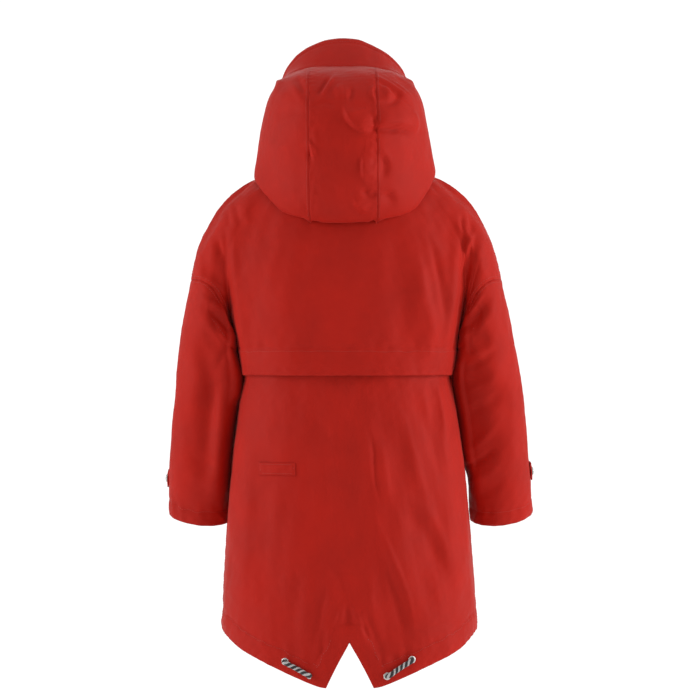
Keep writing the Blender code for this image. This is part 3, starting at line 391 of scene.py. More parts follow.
class Finish(Nodes):
    """A material under way: its node tree and its one surface shader."""

    def __init__(self, name, **fixed):
        self.material = bpy.data.materials.new(name)
        self.material.use_nodes = True
        super().__init__(self.material.node_tree)
        self.shader = next(n for n in self.tree.nodes if n.type == "BSDF_PRINCIPLED")
        self.surface(**fixed)

    def places(self, kind="Object"):
        return self.node("ShaderNodeTexCoord").outputs[kind]

    def attribute(self, name):
        return Wire(self, self.node("ShaderNodeAttribute", {"attribute_name": name}).outputs["Fac"])

    def weave_axes(self):
        parts = self.node("ShaderNodeSeparateXYZ", (), {0: self.places("UV")})
        return Wire(self, parts.outputs[0]), Wire(self, parts.outputs[1])

    def cloudy(self, scale, detail=2.0, roughness=0.5, stretch=(1.0, 1.0, 1.0)):
        where = self.node("ShaderNodeMapping", (), {"Vector": self.places(), "Scale": stretch})
        return Wire(self, self.node("ShaderNodeTexNoise", (), {
            "Vector": where.outputs[0], "Scale": scale, "Detail": detail,
            "Roughness": roughness}).outputs["Fac"])

    def ramp(self, value, stops):
        """A number through a ramp of greys, given as (position, level)."""
        tones = [(position, (level, level, level, 1.0)) for position, level in stops]
        return Wire(self, self.node("ShaderNodeValToRGB", {"stops": tones}, {0: value}).outputs[0])

    def mix(self, first, second, share):
        def tone(value):
            return (*value, 1.0) if isinstance(value, (tuple, list)) and len(value) == 3 else value
        return self.node("ShaderNodeMix", {"data_type": "RGBA"}, {
            0: share, 6: tone(first), 7: tone(second)}).outputs[2]

    def relief(self, height, distance, strength=1.0, under=None):
        return self.node("ShaderNodeBump", (), {
            "Height": height, "Distance": distance, "Strength": strength,
            "Normal": under}).outputs[0]

    def surface(self, **sockets):
        for name, value in sockets.items():
            self.feed(self.shader.inputs[name.replace("_", " ")], value)
        return self.material


def shade(colour, factor):
    return tuple(min(part * factor, 1.0) for part in colour)


MATERIALS = {}


def finish(name):
    """The material of that name, made the first time it is asked for."""
    if name not in MATERIALS:
        MATERIALS[name] = RECIPES[name]()
    return MATERIALS[name]


def shell_cloth():
    """Matt, closely woven red cloth: fine weave, faint clouding, and painted shade darkening it down
    in the seams.
    """
    red = tuple(colours().cloth)
    make = Finish("shell_cloth", Sheen_Weight=0.07, Sheen_Roughness=0.40, Specular_IOR_Level=0.15,
                  Sheen_Tint=(1.0, 0.60, 0.56, 1.0))
    across, up = make.weave_axes()
    threads = (across * (math.tau / 0.0009)).sine() * (up * (math.tau / 0.0009)).sine()
    slubs = make.cloudy(420.0, 2.0, 0.6, (1.0, 1.0, 0.25))
    clouds = make.cloudy(14.0, 4.0, 0.6)
    rubbed = make.cloudy(55.0, 3.0, 0.65)
    seam = make.attribute("seam")
    tone = make.mix(shade(red, 0.90), shade(red, 1.08), make.ramp(clouds, ((0.30, 0.0), (0.70, 1.0))))
    tone = make.mix(tone, shade(red, 1.16), make.ramp(rubbed, ((0.58, 0.0), (0.80, 0.45))))
    # Painted shade: the cloth is darkened toward 0.78 of its red within about 2.4 mm of a seam, where
    # the seam's groove lies.
    tone = make.mix(tone, shade(red, 0.78), make.ramp(seam / FAR, ((0.0, 0.20), (0.04, 0.0))))
    tone = make.mix(tone, shade(red, 0.80), (0.5 - threads * 0.5) * 0.22)
    fine = make.relief(threads * 0.5 + slubs, 0.00010, 0.55)
    soft = make.relief(rubbed, 0.0006, 0.22, fine)
    return make.surface(Base_Color=tone, Roughness=0.56 + clouds * 0.12 + slubs * 0.06, Normal=soft)


def zip_tape_cloth():
    """Ribbed woven tape."""
    red = tuple(colours().tape)
    make = Finish("zip_tape", Sheen_Weight=0.08, Specular_IOR_Level=0.35)
    across, up = make.weave_axes()
    ribs = (across * (math.tau / 0.0011)).sine()
    picks = (up * (math.tau / 0.0008)).sine()
    clouds = make.cloudy(40.0, 3.0)
    tone = make.mix(shade(red, 0.75), shade(red, 1.2), clouds)
    tone = make.mix(tone, shade(red, 0.55), (0.5 - ribs * 0.5) * 0.4)
    return make.surface(Base_Color=tone, Roughness=0.62 + clouds * 0.12,
                        Normal=make.relief(ribs + picks * 0.5, 0.00018, 0.8))


def thread_cord():
    """Twisted sewing thread."""
    red = tuple(colours().thread)
    make = Finish("sewing_thread", Sheen_Weight=0.05, Specular_IOR_Level=0.45)
    plies = make.cloudy(1800.0, 1.0)
    clouds = make.cloudy(30.0, 2.0)
    tone = make.mix(shade(red, 0.80), shade(red, 1.15), clouds)
    return make.surface(Base_Color=tone, Roughness=0.42 + plies * 0.2,
                        Normal=make.relief(plies, 0.00012, 0.7))


def satin_metal():
    """Satin metal with faint brushing and a rubbed bloom."""
    base = tuple(colours().metal)
    make = Finish("metal_trim", Metallic=1.0)
    brushed = make.cloudy(900.0, 2.0, 0.5, (1.0, 1.0, 0.12))
    bloom = make.cloudy(160.0, 3.0, 0.6)
    tone = make.mix(shade(base, 0.78), shade(base, 1.12), bloom)
    return make.surface(Base_Color=tone, Roughness=0.26 + bloom * 0.16 + brushed * 0.08,
                        Normal=make.relief(brushed, 0.00006, 0.4))


def striped_cord():
    """Black cord with light strands that wind round it, in a fine braid."""
    make = Finish("drawcord", Sheen_Weight=0.10, Specular_IOR_Level=0.35)
    turn, run = make.weave_axes()
    wind = (run / 0.0176 + turn) * 2.0
    light = make.ramp(wind.remainder(), ((0.00, 0.0), (0.07, 1.0), (0.40, 1.0), (0.47, 0.0)))
    braid = ((run / 0.0011 + turn * 10.0) * math.tau).sine() * \
        ((run / 0.0011 - turn * 10.0) * math.tau).sine()
    fuzz = make.cloudy(700.0, 2.0, 0.7)
    dark = tuple(colours().cord_dark)
    pale = tuple(colours().cord_light)
    tone = make.mix(dark, shade(dark, 3.0), fuzz)
    tone = make.mix(tone, make.mix(shade(pale, 0.72), pale, fuzz), light)
    tone = make.mix(tone, dark, (0.5 - braid * 0.5) * 0.35)
    return make.surface(Base_Color=tone, Roughness=0.62 + fuzz * 0.2,
                        Normal=make.relief(braid + fuzz * 0.6, 0.00022, 0.8))


def floor_paint():
    """Plain pale floor that reads white and sends a little light up."""
    make = Finish("studio_floor", Roughness=0.9, Specular_IOR_Level=0.05)
    grain = make.cloudy(3.0, 2.0)
    make.surface(Base_Color=make.mix((0.90, 0.90, 0.90), (0.93, 0.93, 0.93), grain),
                 Emission_Color=WHITE, Emission_Strength=0.2)
    make.white_to_camera("ShaderNodeEmission", make.shader, "Material Output")
    return make.material


RECIPES = {
    "shell_cloth": shell_cloth, "zip_tape": zip_tape_cloth, "thread": thread_cord,
    "metal_trim": satin_metal, "drawcord": striped_cord, "floor": floor_paint,
}


# ------------------------------------------------------------------------- cloth on its form
def ease(value):
    """0 to 1 with soft ends."""
    value = np.clip(value, 0.0, 1.0)
    return value * value * (3.0 - 2.0 * value)


def merged(node):
    """A CAD node's mesh as a bmesh with its loose triangles joined up."""
    bm = bmesh.new()
    bm.from_mesh(NODES[node].data)
    bmesh.ops.remove_doubles(bm, verts=bm.verts[:], dist=2e-5)
    return bm


def tree_of(node):
    """A search tree of a node's faces, with the hood's as they hang in the scene."""
    bm = merged(node)
    if node.startswith("hood"):
        for vert in bm.verts:
            vert.co += hood_shift(vert.co / MM) * MM
    tree = BVHTree.FromBMesh(bm)
    bm.free()
    return tree


def patches(bm, sharp):
    """Groups of faces that meet at less than a sharp angle, the largest first."""
    left = set(bm.faces)
    found = []
    while left:
        group = []
        queue = [left.pop()]
        while queue:
            face = queue.pop()
            group.append(face)
            for edge in face.edges:
                if len(edge.link_faces) == 2 and edge.calc_face_angle(0.0) < sharp:
                    for other in edge.link_faces:
                        if other in left:
                            left.discard(other)
                            queue.append(other)
        found.append(group)
    return sorted(found, key=lambda group: -sum(face.calc_area() for face in group))


def outer_side(node, thickness, middle):
    """The outer side of a cloth solid in quads, without its rims and its inner side."""
    bm = merged(node)
    tree = BVHTree.FromBMesh(bm)
    hood_side = node.startswith("hood_side")
    reach = thickness * (3.3 if hood_side else 1.25) * MM
    # A face with no other side of the cloth within reach behind it belongs to a rim.
    rims = []
    for face in bm.faces:
        start = face.calc_center_median() - face.normal * 1e-5
        if tree.ray_cast(start, -face.normal, reach)[0] is None:
            rims.append(face)
    bmesh.ops.delete(bm, geom=rims, context="FACES")
    groups = patches(bm, math.radians(55.0 if hood_side else 75.0))

    def turned(group):
        """How far a group of faces looks away from the middle of the form."""
        spots = [(face, face.calc_center_median()) for face in group]
        return sum(face.calc_area() * face.normal.dot(spot - middle(spot)) for face, spot in spots)

    kept = set(max(groups[:2], key=turned))
    # The strip's outer side comes in several groups, which its bends part.
    if node == "hood_center":
        edges = {edge for face in kept for edge in face.edges}
        for group in groups[1:]:
            if len(group) > 20 and any(edge in edges for face in group for edge in face.edges):
                kept.update(group)
    bmesh.ops.delete(bm, geom=[face for face in bm.faces if face not in kept], context="FACES")
    bmesh.ops.holes_fill(bm, edges=[edge for edge in bm.edges if edge.is_boundary], sides=8)
    bmesh.ops.join_triangles(bm, faces=bm.faces[:], angle_face_threshold=math.radians(50.0),
                             angle_shape_threshold=math.pi)
    return bm


def hood_shift(place):
    """Where the hood's cloth sags from its solid: the crown's corners and the lower edge, in mm."""
    x, y, z = place
    wide = abs(x)
    corner = ease((wide - 56.0) / 32.0) * ease((113.0 - wide) / 20.0)
    corner *= ease((z - 118.0) / 34.0) * ease((y + 38.0) / 40.0)
    lower = 7.0 + 9.0 * math.exp(-((wide - 72.0) / 28.0) ** 2)
    lower *= ease((126.0 - wide) / 22.0) * ease((14.0 - z) / 46.0) * ease((y - 10.0) / 40.0)
    narrow = 2.4 * ease((wide - 62.0) / 50.0) * ease((140.0 - z) / 40.0) * ease((z + 50.0) / 30.0)
    narrow += 5.0 * math.exp(-((z - 143.0) / 15.0) ** 2) * ease((wide - 84.0) / 20.0) * \
        ease((y + 38.0) / 40.0)
    strip = math.exp(-((x + 52.0) / 24.0) ** 2)
    return Vector((5.5 * strip - math.copysign(narrow, x), 0.16 * lower,
                   -9.5 * corner - lower))


def shoulder_fall(place):
    """True where a shoulder runs down into the arm, which the cloth bridges smoothly."""
    lowest = -188.0 if place.x > 0.0 else -84.0
    return 112.0 < abs(place.x) < 214.0 and lowest < place.z < 12.0


def flank_shift(place):
    """The back's cloth stands squarer at the coat's sides than the solid, in mm."""
    x, y, z = place
    side = ease((abs(x) - 130.0) / 26.0) * ease((y - 6.0) / 26.0)
    return Vector((0.0, 7.0 * side * ease((-206.0 - z) / 30.0) * ease((z + 640.0) / 60.0), 0.0))


def arm_line(z):
    """An arm's middle at a height, in mm: how far out from the centre, and its y."""
    down = min(max((-z - 142.0) / 350.0, 0.0), 1.0)
    return 190.0 + 42.0 * down, -12.0 - 30.0 * down


def arm_shift(place):
    """The cloth of a sleeve fills the hollow beside the body, in mm; the left arm's more."""
    x, y, z = place
    out, middle = arm_line(z)
    inner = (out - abs(x)) / 48.0
    fill = ease((inner - 0.2) / 0.55) * ease((y - middle + 4.0) / 22.0)
    fill *= ease((-176.0 - z) / 36.0) * ease((z + 500.0) / 60.0)
    return Vector((0.0, (14.0 if x > 0.0 else 7.0) * fill, 0.0))


def mesh_of(name, bm):
    mesh = bpy.data.meshes.new(name)
    bm.to_mesh(mesh)
    bm.free()
    return mesh


def linked(name, mesh):
    obj = bpy.data.objects.new(name, mesh)
    bpy.context.scene.collection.objects.link(obj)
    return obj


def read(items, name, width=1, kind=float):
    """One value, or one row of values, for each of a mesh's items."""
    found = np.empty(len(items) * width, kind)
    items.foreach_get(name, found)
    return found if width == 1 else found.reshape(-1, width)


def fine_sheet(name, bm, levels):
    """The sheet with its cells subdivided smoothly, through the points of its form."""
    held = bm.verts.layers.float.new("crease_vert")
    for vert in bm.verts:
        ways = [(edge.other_vert(vert).co - vert.co).normalized()
                for edge in vert.link_edges if edge.is_boundary]
        if len(ways) == 2 and ways[0].dot(ways[1]) > -math.cos(math.radians(CORNER)):
            vert[held] = 1.0
    mesh = mesh_of(name, bm)
    obj = linked(name, mesh)
    smoothing = obj.modifiers.new("Smooth", "SUBSURF")
    smoothing.levels = smoothing.render_levels = levels
    smoothing.boundary_smooth = "PRESERVE_CORNERS"
    wanted = read(mesh.vertices, "co", 3)
    cage = wanted.copy()
    # The cage moves until the smooth sheet runs through the points of its form.
    for number in range(FITS + 1):
        mesh.update()
        obj.update_tag()
        graph = bpy.context.evaluated_depsgraph_get()
        fine = bpy.data.meshes.new_from_object(obj.evaluated_get(graph))
        if number == FITS:
            break
        cage += (wanted - read(fine.vertices, "co", 3)[:len(cage)]) * 0.9
        mesh.vertices.foreach_set("co", cage.ravel())
        bpy.data.meshes.remove(fine)
    obj.modifiers.clear()
    obj.data = fine
    fine.name = name
    bpy.data.meshes.remove(mesh)
    return obj


def corners(mesh):
    """Places and normals of a mesh's vertices, in mm."""
    return read(mesh.vertices, "co", 3) / MM, read(mesh.vertex_normals, "vector", 3)


def border_chains(mesh):
    """The sheet's open edges as ordered chains of vertex numbers."""
    uses = np.zeros(len(mesh.edges), int)
    np.add.at(uses, read(mesh.loops, "edge_index", kind=int), 1)
    beside = {}
    for index in np.flatnonzero(uses == 1):
        a, b = mesh.edges[int(index)].vertices
        beside.setdefault(a, []).append(b)
        beside.setdefault(b, []).append(a)
    chains = []
    left = set(beside)
    while left:
        chain = [min(left)]
        left.discard(chain[0])
        while True:
            ahead = [v for v in beside[chain[-1]] if v in left]
            if not ahead:
                break
            chain.append(ahead[0])
            left.discard(ahead[0])
        chains.append(chain)
    return chains


def reach_of(places, marks):
    """Distance in mm from each place to the nearest mark, up to FAR."""
    if not len(marks):
        return np.full(len(places), FAR)
    tree = KDTree(len(marks))
    for index, mark in enumerate(marks):
        tree.insert(mark, index)
    tree.balance()
    return np.minimum([tree.find(place)[2] for place in places], FAR)


def between(a, b, c, d, share):
    """A point of the smooth curve from b to c, where a comes before them and d after."""
    return 0.5 * (2 * b + (c - a) * share + (2 * a - 5 * b + 4 * c - d) * share ** 2
                  + (3 * b - a - 3 * c + d) * share ** 3)


def smooth_path(points, parts=5):
    """A curve through the points of a fold, as short runs."""
    padded = np.vstack((2 * points[0] - points[1], points, 2 * points[-1] - points[-2]))
    steps = np.linspace(0.0, 1.0, parts, endpoint=False)[:, None]
    made = [between(*four, steps) for four in zip(padded, padded[1:], padded[2:], padded[3:])]
    return np.vstack((*made, points[-1:]))


def fold_table(text):
    """The folds of one table, as points, half width, height and skew."""
    rows = [np.array(line.split(), float) for line in text.strip().splitlines()]
    return [(row[3:].reshape(-1, 2), *row[:3]) for row in rows]


def fold_heights(places, table):
    """Height of the listed folds at places seen square on, as (x, z) in mm."""
    height = np.zeros(len(places))
    for points, width, rise, skew in table:
        path = smooth_path(points)
        reach = width * 3.5
        near = ((places > path.min(0) - reach) & (places < path.max(0) + reach)).all(1)
        spots = places[near]
        if not len(spots):
            continue
        run = np.diff(path, axis=0)
        length = np.hypot(*run.T)
        toward = spots[:, None] - path[:-1]
        share = np.clip((toward * run).sum(2) / length ** 2, 0.0, 1.0)
        offset = toward - share[..., None] * run
        gap = np.hypot(offset[..., 0], offset[..., 1])
        best = gap.argmin(1)
        rows = np.arange(len(spots))
        away = offset[rows, best]
        side = np.sign(run[best, 0] * away[:, 1] - run[best, 1] * away[:, 0])
        gone = np.concatenate(([0.0], np.cumsum(length)))
        travelled = (gone[best] + share[rows, best] * length[best]) / gone[-1]
        fade = ease(travelled / 0.34) * ease((1.0 - travelled) / 0.34)
        across = gap[rows, best] / (width * (1.0 + 0.55 * skew * side))
        height[near] += rise * np.exp(-across ** 2) * (0.12 + 0.88 * fade)
    return height


def ripple(places, size, seed, stretch=(1.0, 1.0, 1.0)):
    """A soft, irregular wave of about unit height; stretch slims it along an axis."""
    draw = np.random.default_rng(seed)
    ways = draw.normal(size=(9, 3))
    ways /= np.linalg.norm(ways, axis=1)[:, None]
    ways *= (2.0 * math.pi / size) * draw.uniform(0.7, 1.4, (9, 1)) / np.array(stretch)
    return np.sin(places @ ways.T + draw.uniform(0.0, math.tau, 9)).sum(1) / 2.2


def weave_map(mesh, middle, radius):
    """UV map in metres: round the form, and up it."""
    places = read(mesh.vertices, "co", 3)
    which = read(mesh.loops, "vertex_index", kind=int)
    turn = np.arctan2(places[:, 0] - middle[0] * MM, places[:, 1] - middle[1] * MM)[which]
    owner = np.repeat(np.arange(len(mesh.polygons)), read(mesh.polygons, "loop_total", kind=int))
    highest = np.full(len(mesh.polygons), -9.0)
    np.maximum.at(highest, owner, turn)
    turn = np.where(highest[owner] - turn > math.pi, turn + math.tau, turn)
    layer = mesh.uv_layers.new(name="weave")
    flat = np.stack((turn * radius * MM, places[which, 2]), 1)
    layer.data.foreach_set("uv", flat.ravel().astype(np.float32))


def lift(mesh, places, normals, height, seam):
    """Raises the cloth by its heights and keeps the distances to its seams for the material."""
    places += normals * height[:, None]
    mesh.vertices.foreach_set("co", (places * MM).ravel())
    layer = mesh.attributes.new("seam", "FLOAT", "POINT")
    layer.data.foreach_set("value", seam.astype(np.float32))


def surfaced(mesh, material):
    """Smooth shading and a material for a finished mesh."""
    mesh.polygons.foreach_set("use_smooth", np.ones(len(mesh.polygons), bool))
    mesh.materials.append(finish(material))
    mesh.update()


def finish_sheet(obj, node, mapped, thickness, cloth="shell_cloth"):
    """Gives a sheet its weave map, material and thickness and puts it in its solid's place."""
    weave_map(obj.data, *mapped)
    surfaced(obj.data, cloth)
    shell = obj.modifiers.new("Shell", "SOLIDIFY")
    shell.thickness = thickness
    shell.offset = -1.0
    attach(obj, "coat")
    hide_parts(node)


def body_middle(place):
    """The body's middle beside a place."""
    return Vector((LEAN * place.z, -12.0 * MM, place.z))


def hood_middle(place):
    """The middle of the head's room, for every place."""
    return Vector((0.0, 20.0 * MM, 60.0 * MM))


def sleeve_middle(side):
    """The middle of the left arm (1), or the right one (-1), beside a place."""
    def middle(place):
        out, y = arm_line(place.z / MM)
        return Vector((side * out * MM, y * MM, place.z))
    return middle


def in_order(bm):
    """Sorts a mesh's parts by their place, so that they come out alike each time."""
    def rank(place):
        return place.x + 1.7 * place.y + 2.9 * place.z
    bm.verts.sort(key=lambda vert: rank(vert.co))
    bm.edges.sort(key=lambda edge: rank(edge.verts[0].co + edge.verts[1].co))
    bm.faces.sort(key=lambda face: rank(face.calc_center_median()))


def search_tree(mesh):
    """A search tree of a sheet's faces as they are now."""
    mesh.update()
    bm = bmesh.new()
    bm.from_mesh(mesh)
    tree = BVHTree.FromBMesh(bm)
    bm.free()
    return tree


def turn_in(mesh, sewn):
    """Turns the sewn edges in, under the edge of the next piece, as a seam's allowance."""
    bm = bmesh.new()
    bm.from_mesh(mesh)
    bm.verts.ensure_lookup_table()
    edges = [edge for edge in bm.edges
             if edge.is_boundary and all(vert.index in sewn for vert in edge.verts)]
    if edges:
        place = {}
        for edge in edges:
            face = edge.link_faces[0]
            middle = (edge.verts[0].co + edge.verts[1].co) / 2.0
            along = (edge.verts[1].co - edge.verts[0].co).normalized()
            away = middle - face.calc_center_median()
            away = (away - along * away.dot(along)).normalized()
            for vert in edge.verts:
                place.setdefault(vert, []).append((away, face.normal.copy()))
        made = bmesh.ops.extrude_edge_only(bm, edges=edges)["geom"]
        for vert in (item for item in made if isinstance(item, bmesh.types.BMVert)):
            source = next(edge.other_vert(vert) for edge in vert.link_edges
                          if edge.other_vert(vert) in place)
            away = sum((pair[0] for pair in place[source]), Vector()).normalized()
            normal = sum((pair[1] for pair in place[source]), Vector()).normalized()
            vert.co += (away * 0.8 - normal * 1.8) * MM
    in_order(bm)
    bm.to_mesh(mesh)
    bm.free()


SHELLS = ("back_yoke", "back_panel", "front_left", "front_right", "sleeve_left", "sleeve_right",
          "hood_center", "hood_side_left", "hood_side_right", "hood_brim")
NEIGHBOURS = {node: tree_of(node) for node in SHELLS}
SHEETS = {}             # finished sheets with what the stitching needs of them


def dress(node, levels, middle, fold, puff=0.0, hem=0.0, mapped=BODY_MAP, calm=1.0, kept=0.15,
          seed=1, shift=None, melt=None):
    """Makes one shell piece: its outer side, smoothed, folded, puffed at its hem and thickened.

    fold gives the height of the folds from places and normals; hem is the width of the sewn
    channel along the piece's free edges; calm scales the small unevenness and kept is the share of
    a fold that stays at a seam.
    """
    cage = outer_side(node, CLOTH, middle)
    if shift:
        for vert in cage.verts:
            vert.co += shift(vert.co / MM) * MM
    if melt:
        soft = [vert for vert in cage.verts if not vert.is_boundary and melt(vert.co / MM)]
        for _ in range(MELTS):
            bmesh.ops.smooth_vert(cage, verts=soft, factor=0.5, use_axis_x=True, use_axis_y=True,
                                  use_axis_z=True)
    obj = fine_sheet(node + "_cloth", cage, levels)
    mesh = obj.data
    places, normals = corners(mesh)
    chains = border_chains(mesh)
    border = [v for chain in chains for v in chain]
    others = [tree for name, tree in NEIGHBOURS.items() if name != node]
    sewn = {}
    for v in border:
        spot = Vector(places[v]) * MM
        close = [near for near in (tree.find_nearest(spot, SEWN * MM)[0] for tree in others) if near]
        if close:
            gap = min((near - spot for near in close), key=lambda way: way.length) / MM
            way = Vector(normals[v])
            sewn[v] = (gap - way * gap.dot(way)) * MEET
    for v, step in sewn.items():
        places[v] += step
    seam = reach_of(places, [places[v] for v in border if v in sewn])
    free = reach_of(places, [places[v] for v in border if v not in sewn])
    damp = np.exp(-(seam / SEAM_HOLD) ** 2)
    height = fold(places, normals) * sizes().fold_depth * (1.0 - (1.0 - kept) * damp)
    uneven = 1.0 - 0.85 * damp
    for number, (rise, size, slim) in enumerate(WAVES):
        height += rise * calm * uneven * ripple(places, size, seed + number, (1.0, 1.0, slim))
    # Sewn edges pucker, their line sinks in and the cloth beside it stands up.
    pucker = ripple(places, 13.0, seed + 3) * np.exp(-(np.minimum(seam, free) / 13.0) ** 2)
    height += 0.28 * min(calm * 1.5, 1.0) * pucker
    line = np.exp(-(seam / 1.8) ** 2) - np.exp(-((seam - 6.5) / 4.0) ** 2)
    height -= (0.3 if kept < 1.0 else 0.15) * line
    if hem:
        # The hem's channel is full, its stitched line sinks in and the cloth there ripples.
        inside = np.clip(free / hem, 0.0, 1.0)
        height += puff * np.sin(math.pi * inside) ** 0.8
        height -= 0.85 * np.exp(-((free - hem) / 2.4) ** 2)
        near_line = np.exp(-((free - hem) / 11.0) ** 2)
        wave = ripple(places, 17.0, seed + 4, (1.0, 1.0, 2.6))
        height += 0.42 * min(calm, 1.0) * wave * near_line
    lift(mesh, places, normals, height, seam)
    SHEETS[node] = (search_tree(mesh), chains, sewn, places)
    turn_in(mesh, {v for v in sewn if not node.startswith("hood") or places[v, 2] > -38.0})
    finish_sheet(obj, node, mapped, sizes().shell)


def folded(text, back=True, mirror=1.0, factor=1.0):
    """Heights of one table's folds on the side of a piece that faces +Y, or -Y."""
    side = 1.0 if back else -1.0
    table = fold_table(text)

    def fold(places, normals):
        facing = ease((normals[:, 1] * side + 0.05) / 0.4)
        spots = places[:, [0, 2]] * np.array((mirror, 1.0))
        return facing * factor * fold_heights(spots, table)
    return fold


def together(*folds):
    """The heights of several folds, added up."""
    return lambda places, normals: sum(fold(places, normals) for fold in folds)


def hood_seams(places, normals):
    """The hood stands up a little along its two long seams, so its strip looks flat."""
    x, z = places[:, 0], places[:, 2]
    rise = np.exp(-np.abs(x - 52.0) / 24.0) + np.exp(-np.abs(x + 46.5) / 24.0)
    inside = ease((172.0 - z) / 30.0) * ease((z + 62.0) / 30.0)
    return 2.6 * rise * ease((normals[:, 1] - 0.1) / 0.4) * inside


def pressed(side, height, top, bottom):
    """Cloth pushed out of a sleeve toward the body, where the arm lies against the coat."""
    def fold(places, normals):
        z = places[:, 2]
        inward = ease((-side * normals[:, 0] - 0.45) / 0.35)
        return height * inward * ease((top - z) / 26.0) * ease((z - bottom) / 26.0)
    return fold


def under_flap(fold):
    """Keeps the cloth that lies under the storm flap from rising into it."""
    def kept(places, normals):
        height = fold(places, normals)
        share = ease((places[:, 2] + 300.0) / 16.0)
        return height * (1.0 - share) + np.minimum(height, -0.5) * share
    return kept


def flap_edge(fold):
    """Keeps the flap's free edge off the cloth under it."""
    def kept(places, normals):
        height = fold(places, normals)
        share = ease((-250.0 - places[:, 2]) / 20.0) * (normals[:, 1] > -0.4)
        return height * (1.0 - share) + np.maximum(height + 0.6, 0.1) * share
    return kept


# ------------------------------------------------------------------------- tabs, zip, trims
def tab_piece(node, levels, middle, thickness, mapped):
    """A small sewn-on tab: its outer side, smoothed, its edges pressed down and its middle full."""
    obj = fine_sheet(node + "_cloth", outer_side(node, thickness, middle), levels)
    mesh = obj.data
    places, normals = corners(mesh)
    chains = border_chains(mesh)
    free = reach_of(places, [places[v] for chain in chains for v in chain])
    height = 0.5 * ease(free / 4.0) - 0.35 * np.exp(-((free - 2.6) / 0.9) ** 2)
    height += 0.16 * ripple(places, 11.0, 7) - 0.2 + 0.3 * (thickness > 1.9)
    # The edge distance is stored as the seam distance, so the cloth material paints shade along the
    # tab's edges too.
    lift(mesh, places, normals, height, np.minimum(free + 1.0, FAR))
    SHEETS[node] = (search_tree(mesh), chains, set(), places)
    finish_sheet(obj, node, mapped, (thickness - 0.2) * MM)


class RAINCOAT_OT_tabs(bpy.types.Operator):
    """Makes the small welt on the lower back and the two cuff tabs"""
    bl_idname = "raincoat.tabs"
    bl_label = "Welt and cuff tabs"

    def execute(self, context):
        tab_piece("back_tab", 4, body_middle, 1.4, BODY_MAP)
        for name, side in (("left", 1.0), ("right", -1.0)):
            tab_piece("cuff_tab_" + name, 4, sleeve_middle(side), 2.0, ARM_MAPS[side])
        return {"FINISHED"}


def axes(out, up):
    """A turn whose z axis points out and whose y axis lies as near as can be to up."""
    out = out.normalized()
    across = up.cross(out).normalized()
    turn = Matrix((across, out.cross(across), out)).transposed()
    return turn.to_4x4()


def trim(name, bm, material, slot, *nodes, crisp=True):
    """Finishes a small piece that rides on the coat; a crisp one keeps its sharp edges."""
    if crisp:
        bmesh.ops.recalc_face_normals(bm, faces=bm.faces[:])
    in_order(bm)
    mesh = mesh_of(name, bm)
    surfaced(mesh, material)
    if crisp:
        mesh.set_sharp_from_angle(angle=math.radians(40.0))
    obj = linked(name, mesh)
    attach(obj, "coat")
    if nodes:
        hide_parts(*nodes)


def turned_part(profile, segments, where):
    """A closed profile of (radius, height) in mm spun round its axis and set in its place."""
    bm = bmesh.new()
    points = [bm.verts.new((radius * MM, 0.0, height * MM)) for radius, height in profile]
    edges = [bm.edges.new(pair) for pair in zip(points, points[1:])]
    if profile[0][0] > 0.0:
        edges.append(bm.edges.new((points[-1], points[0])))
    bmesh.ops.spin(bm, geom=points + edges, axis=(0.0, 0.0, 1.0), cent=(0.0, 0.0, 0.0),
                   dvec=(0.0, 0.0, 0.0), angle=math.tau, steps=segments, use_merge=True,
                   use_duplicate=False)
    bmesh.ops.remove_doubles(bm, verts=bm.verts[:], dist=1e-6)
    bm.transform(where)
    return bm


def disc_seat(node, middle):
    """Where a small flat round solid sits, with z along its outward side."""
    places = np.array([vertex.co for vertex in NODES[node].data.vertices], float)
    centre = Vector((places.max(0) + places.min(0)) / 2.0)
    out = Vector(np.linalg.svd(places - places.mean(0), full_matrices=False)[2][2])
    out = out if out.dot(centre - middle(centre)) > 0.0 else -out
    return Matrix.Translation(centre) @ axes(out, Vector((0.0, 0.0, 1.0)))


# Profiles in mm, as (radius, height above the solid's middle).
EYELET = ((2.5, -0.5), (5.3, -0.5), (5.45, -0.2), (5.3, 0.1), (4.9, 0.42), (4.3, 0.62), (3.6, 0.66),
          (3.0, 0.5), (2.65, 0.15), (2.5, -0.2))
SNAP = ((0.0, -1.55), (6.4, -1.55), (6.5, -1.2), (6.5, -0.4), (6.1, 0.2), (5.2, 0.55), (4.9, 0.35),
        (4.6, 0.55), (4.0, 1.15), (2.4, 1.5), (0.0, 1.6))


class RAINCOAT_OT_snaps(bpy.types.Operator):
    """Makes the metal snap on each cuff tab, with a rolled rim round a domed cap"""
    bl_idname = "raincoat.snaps"
    bl_label = "Cuff snaps"

    def execute(self, context):
        for name, side in (("left", 1.0), ("right", -1.0)):
            node = "cuff_snap_" + name
            cap = turned_part(SNAP, 40, disc_seat(node, sleeve_middle(side)))
            trim(node + "_cap", cap, "metal_trim", "metal_trim", node)
        return {"FINISHED"}


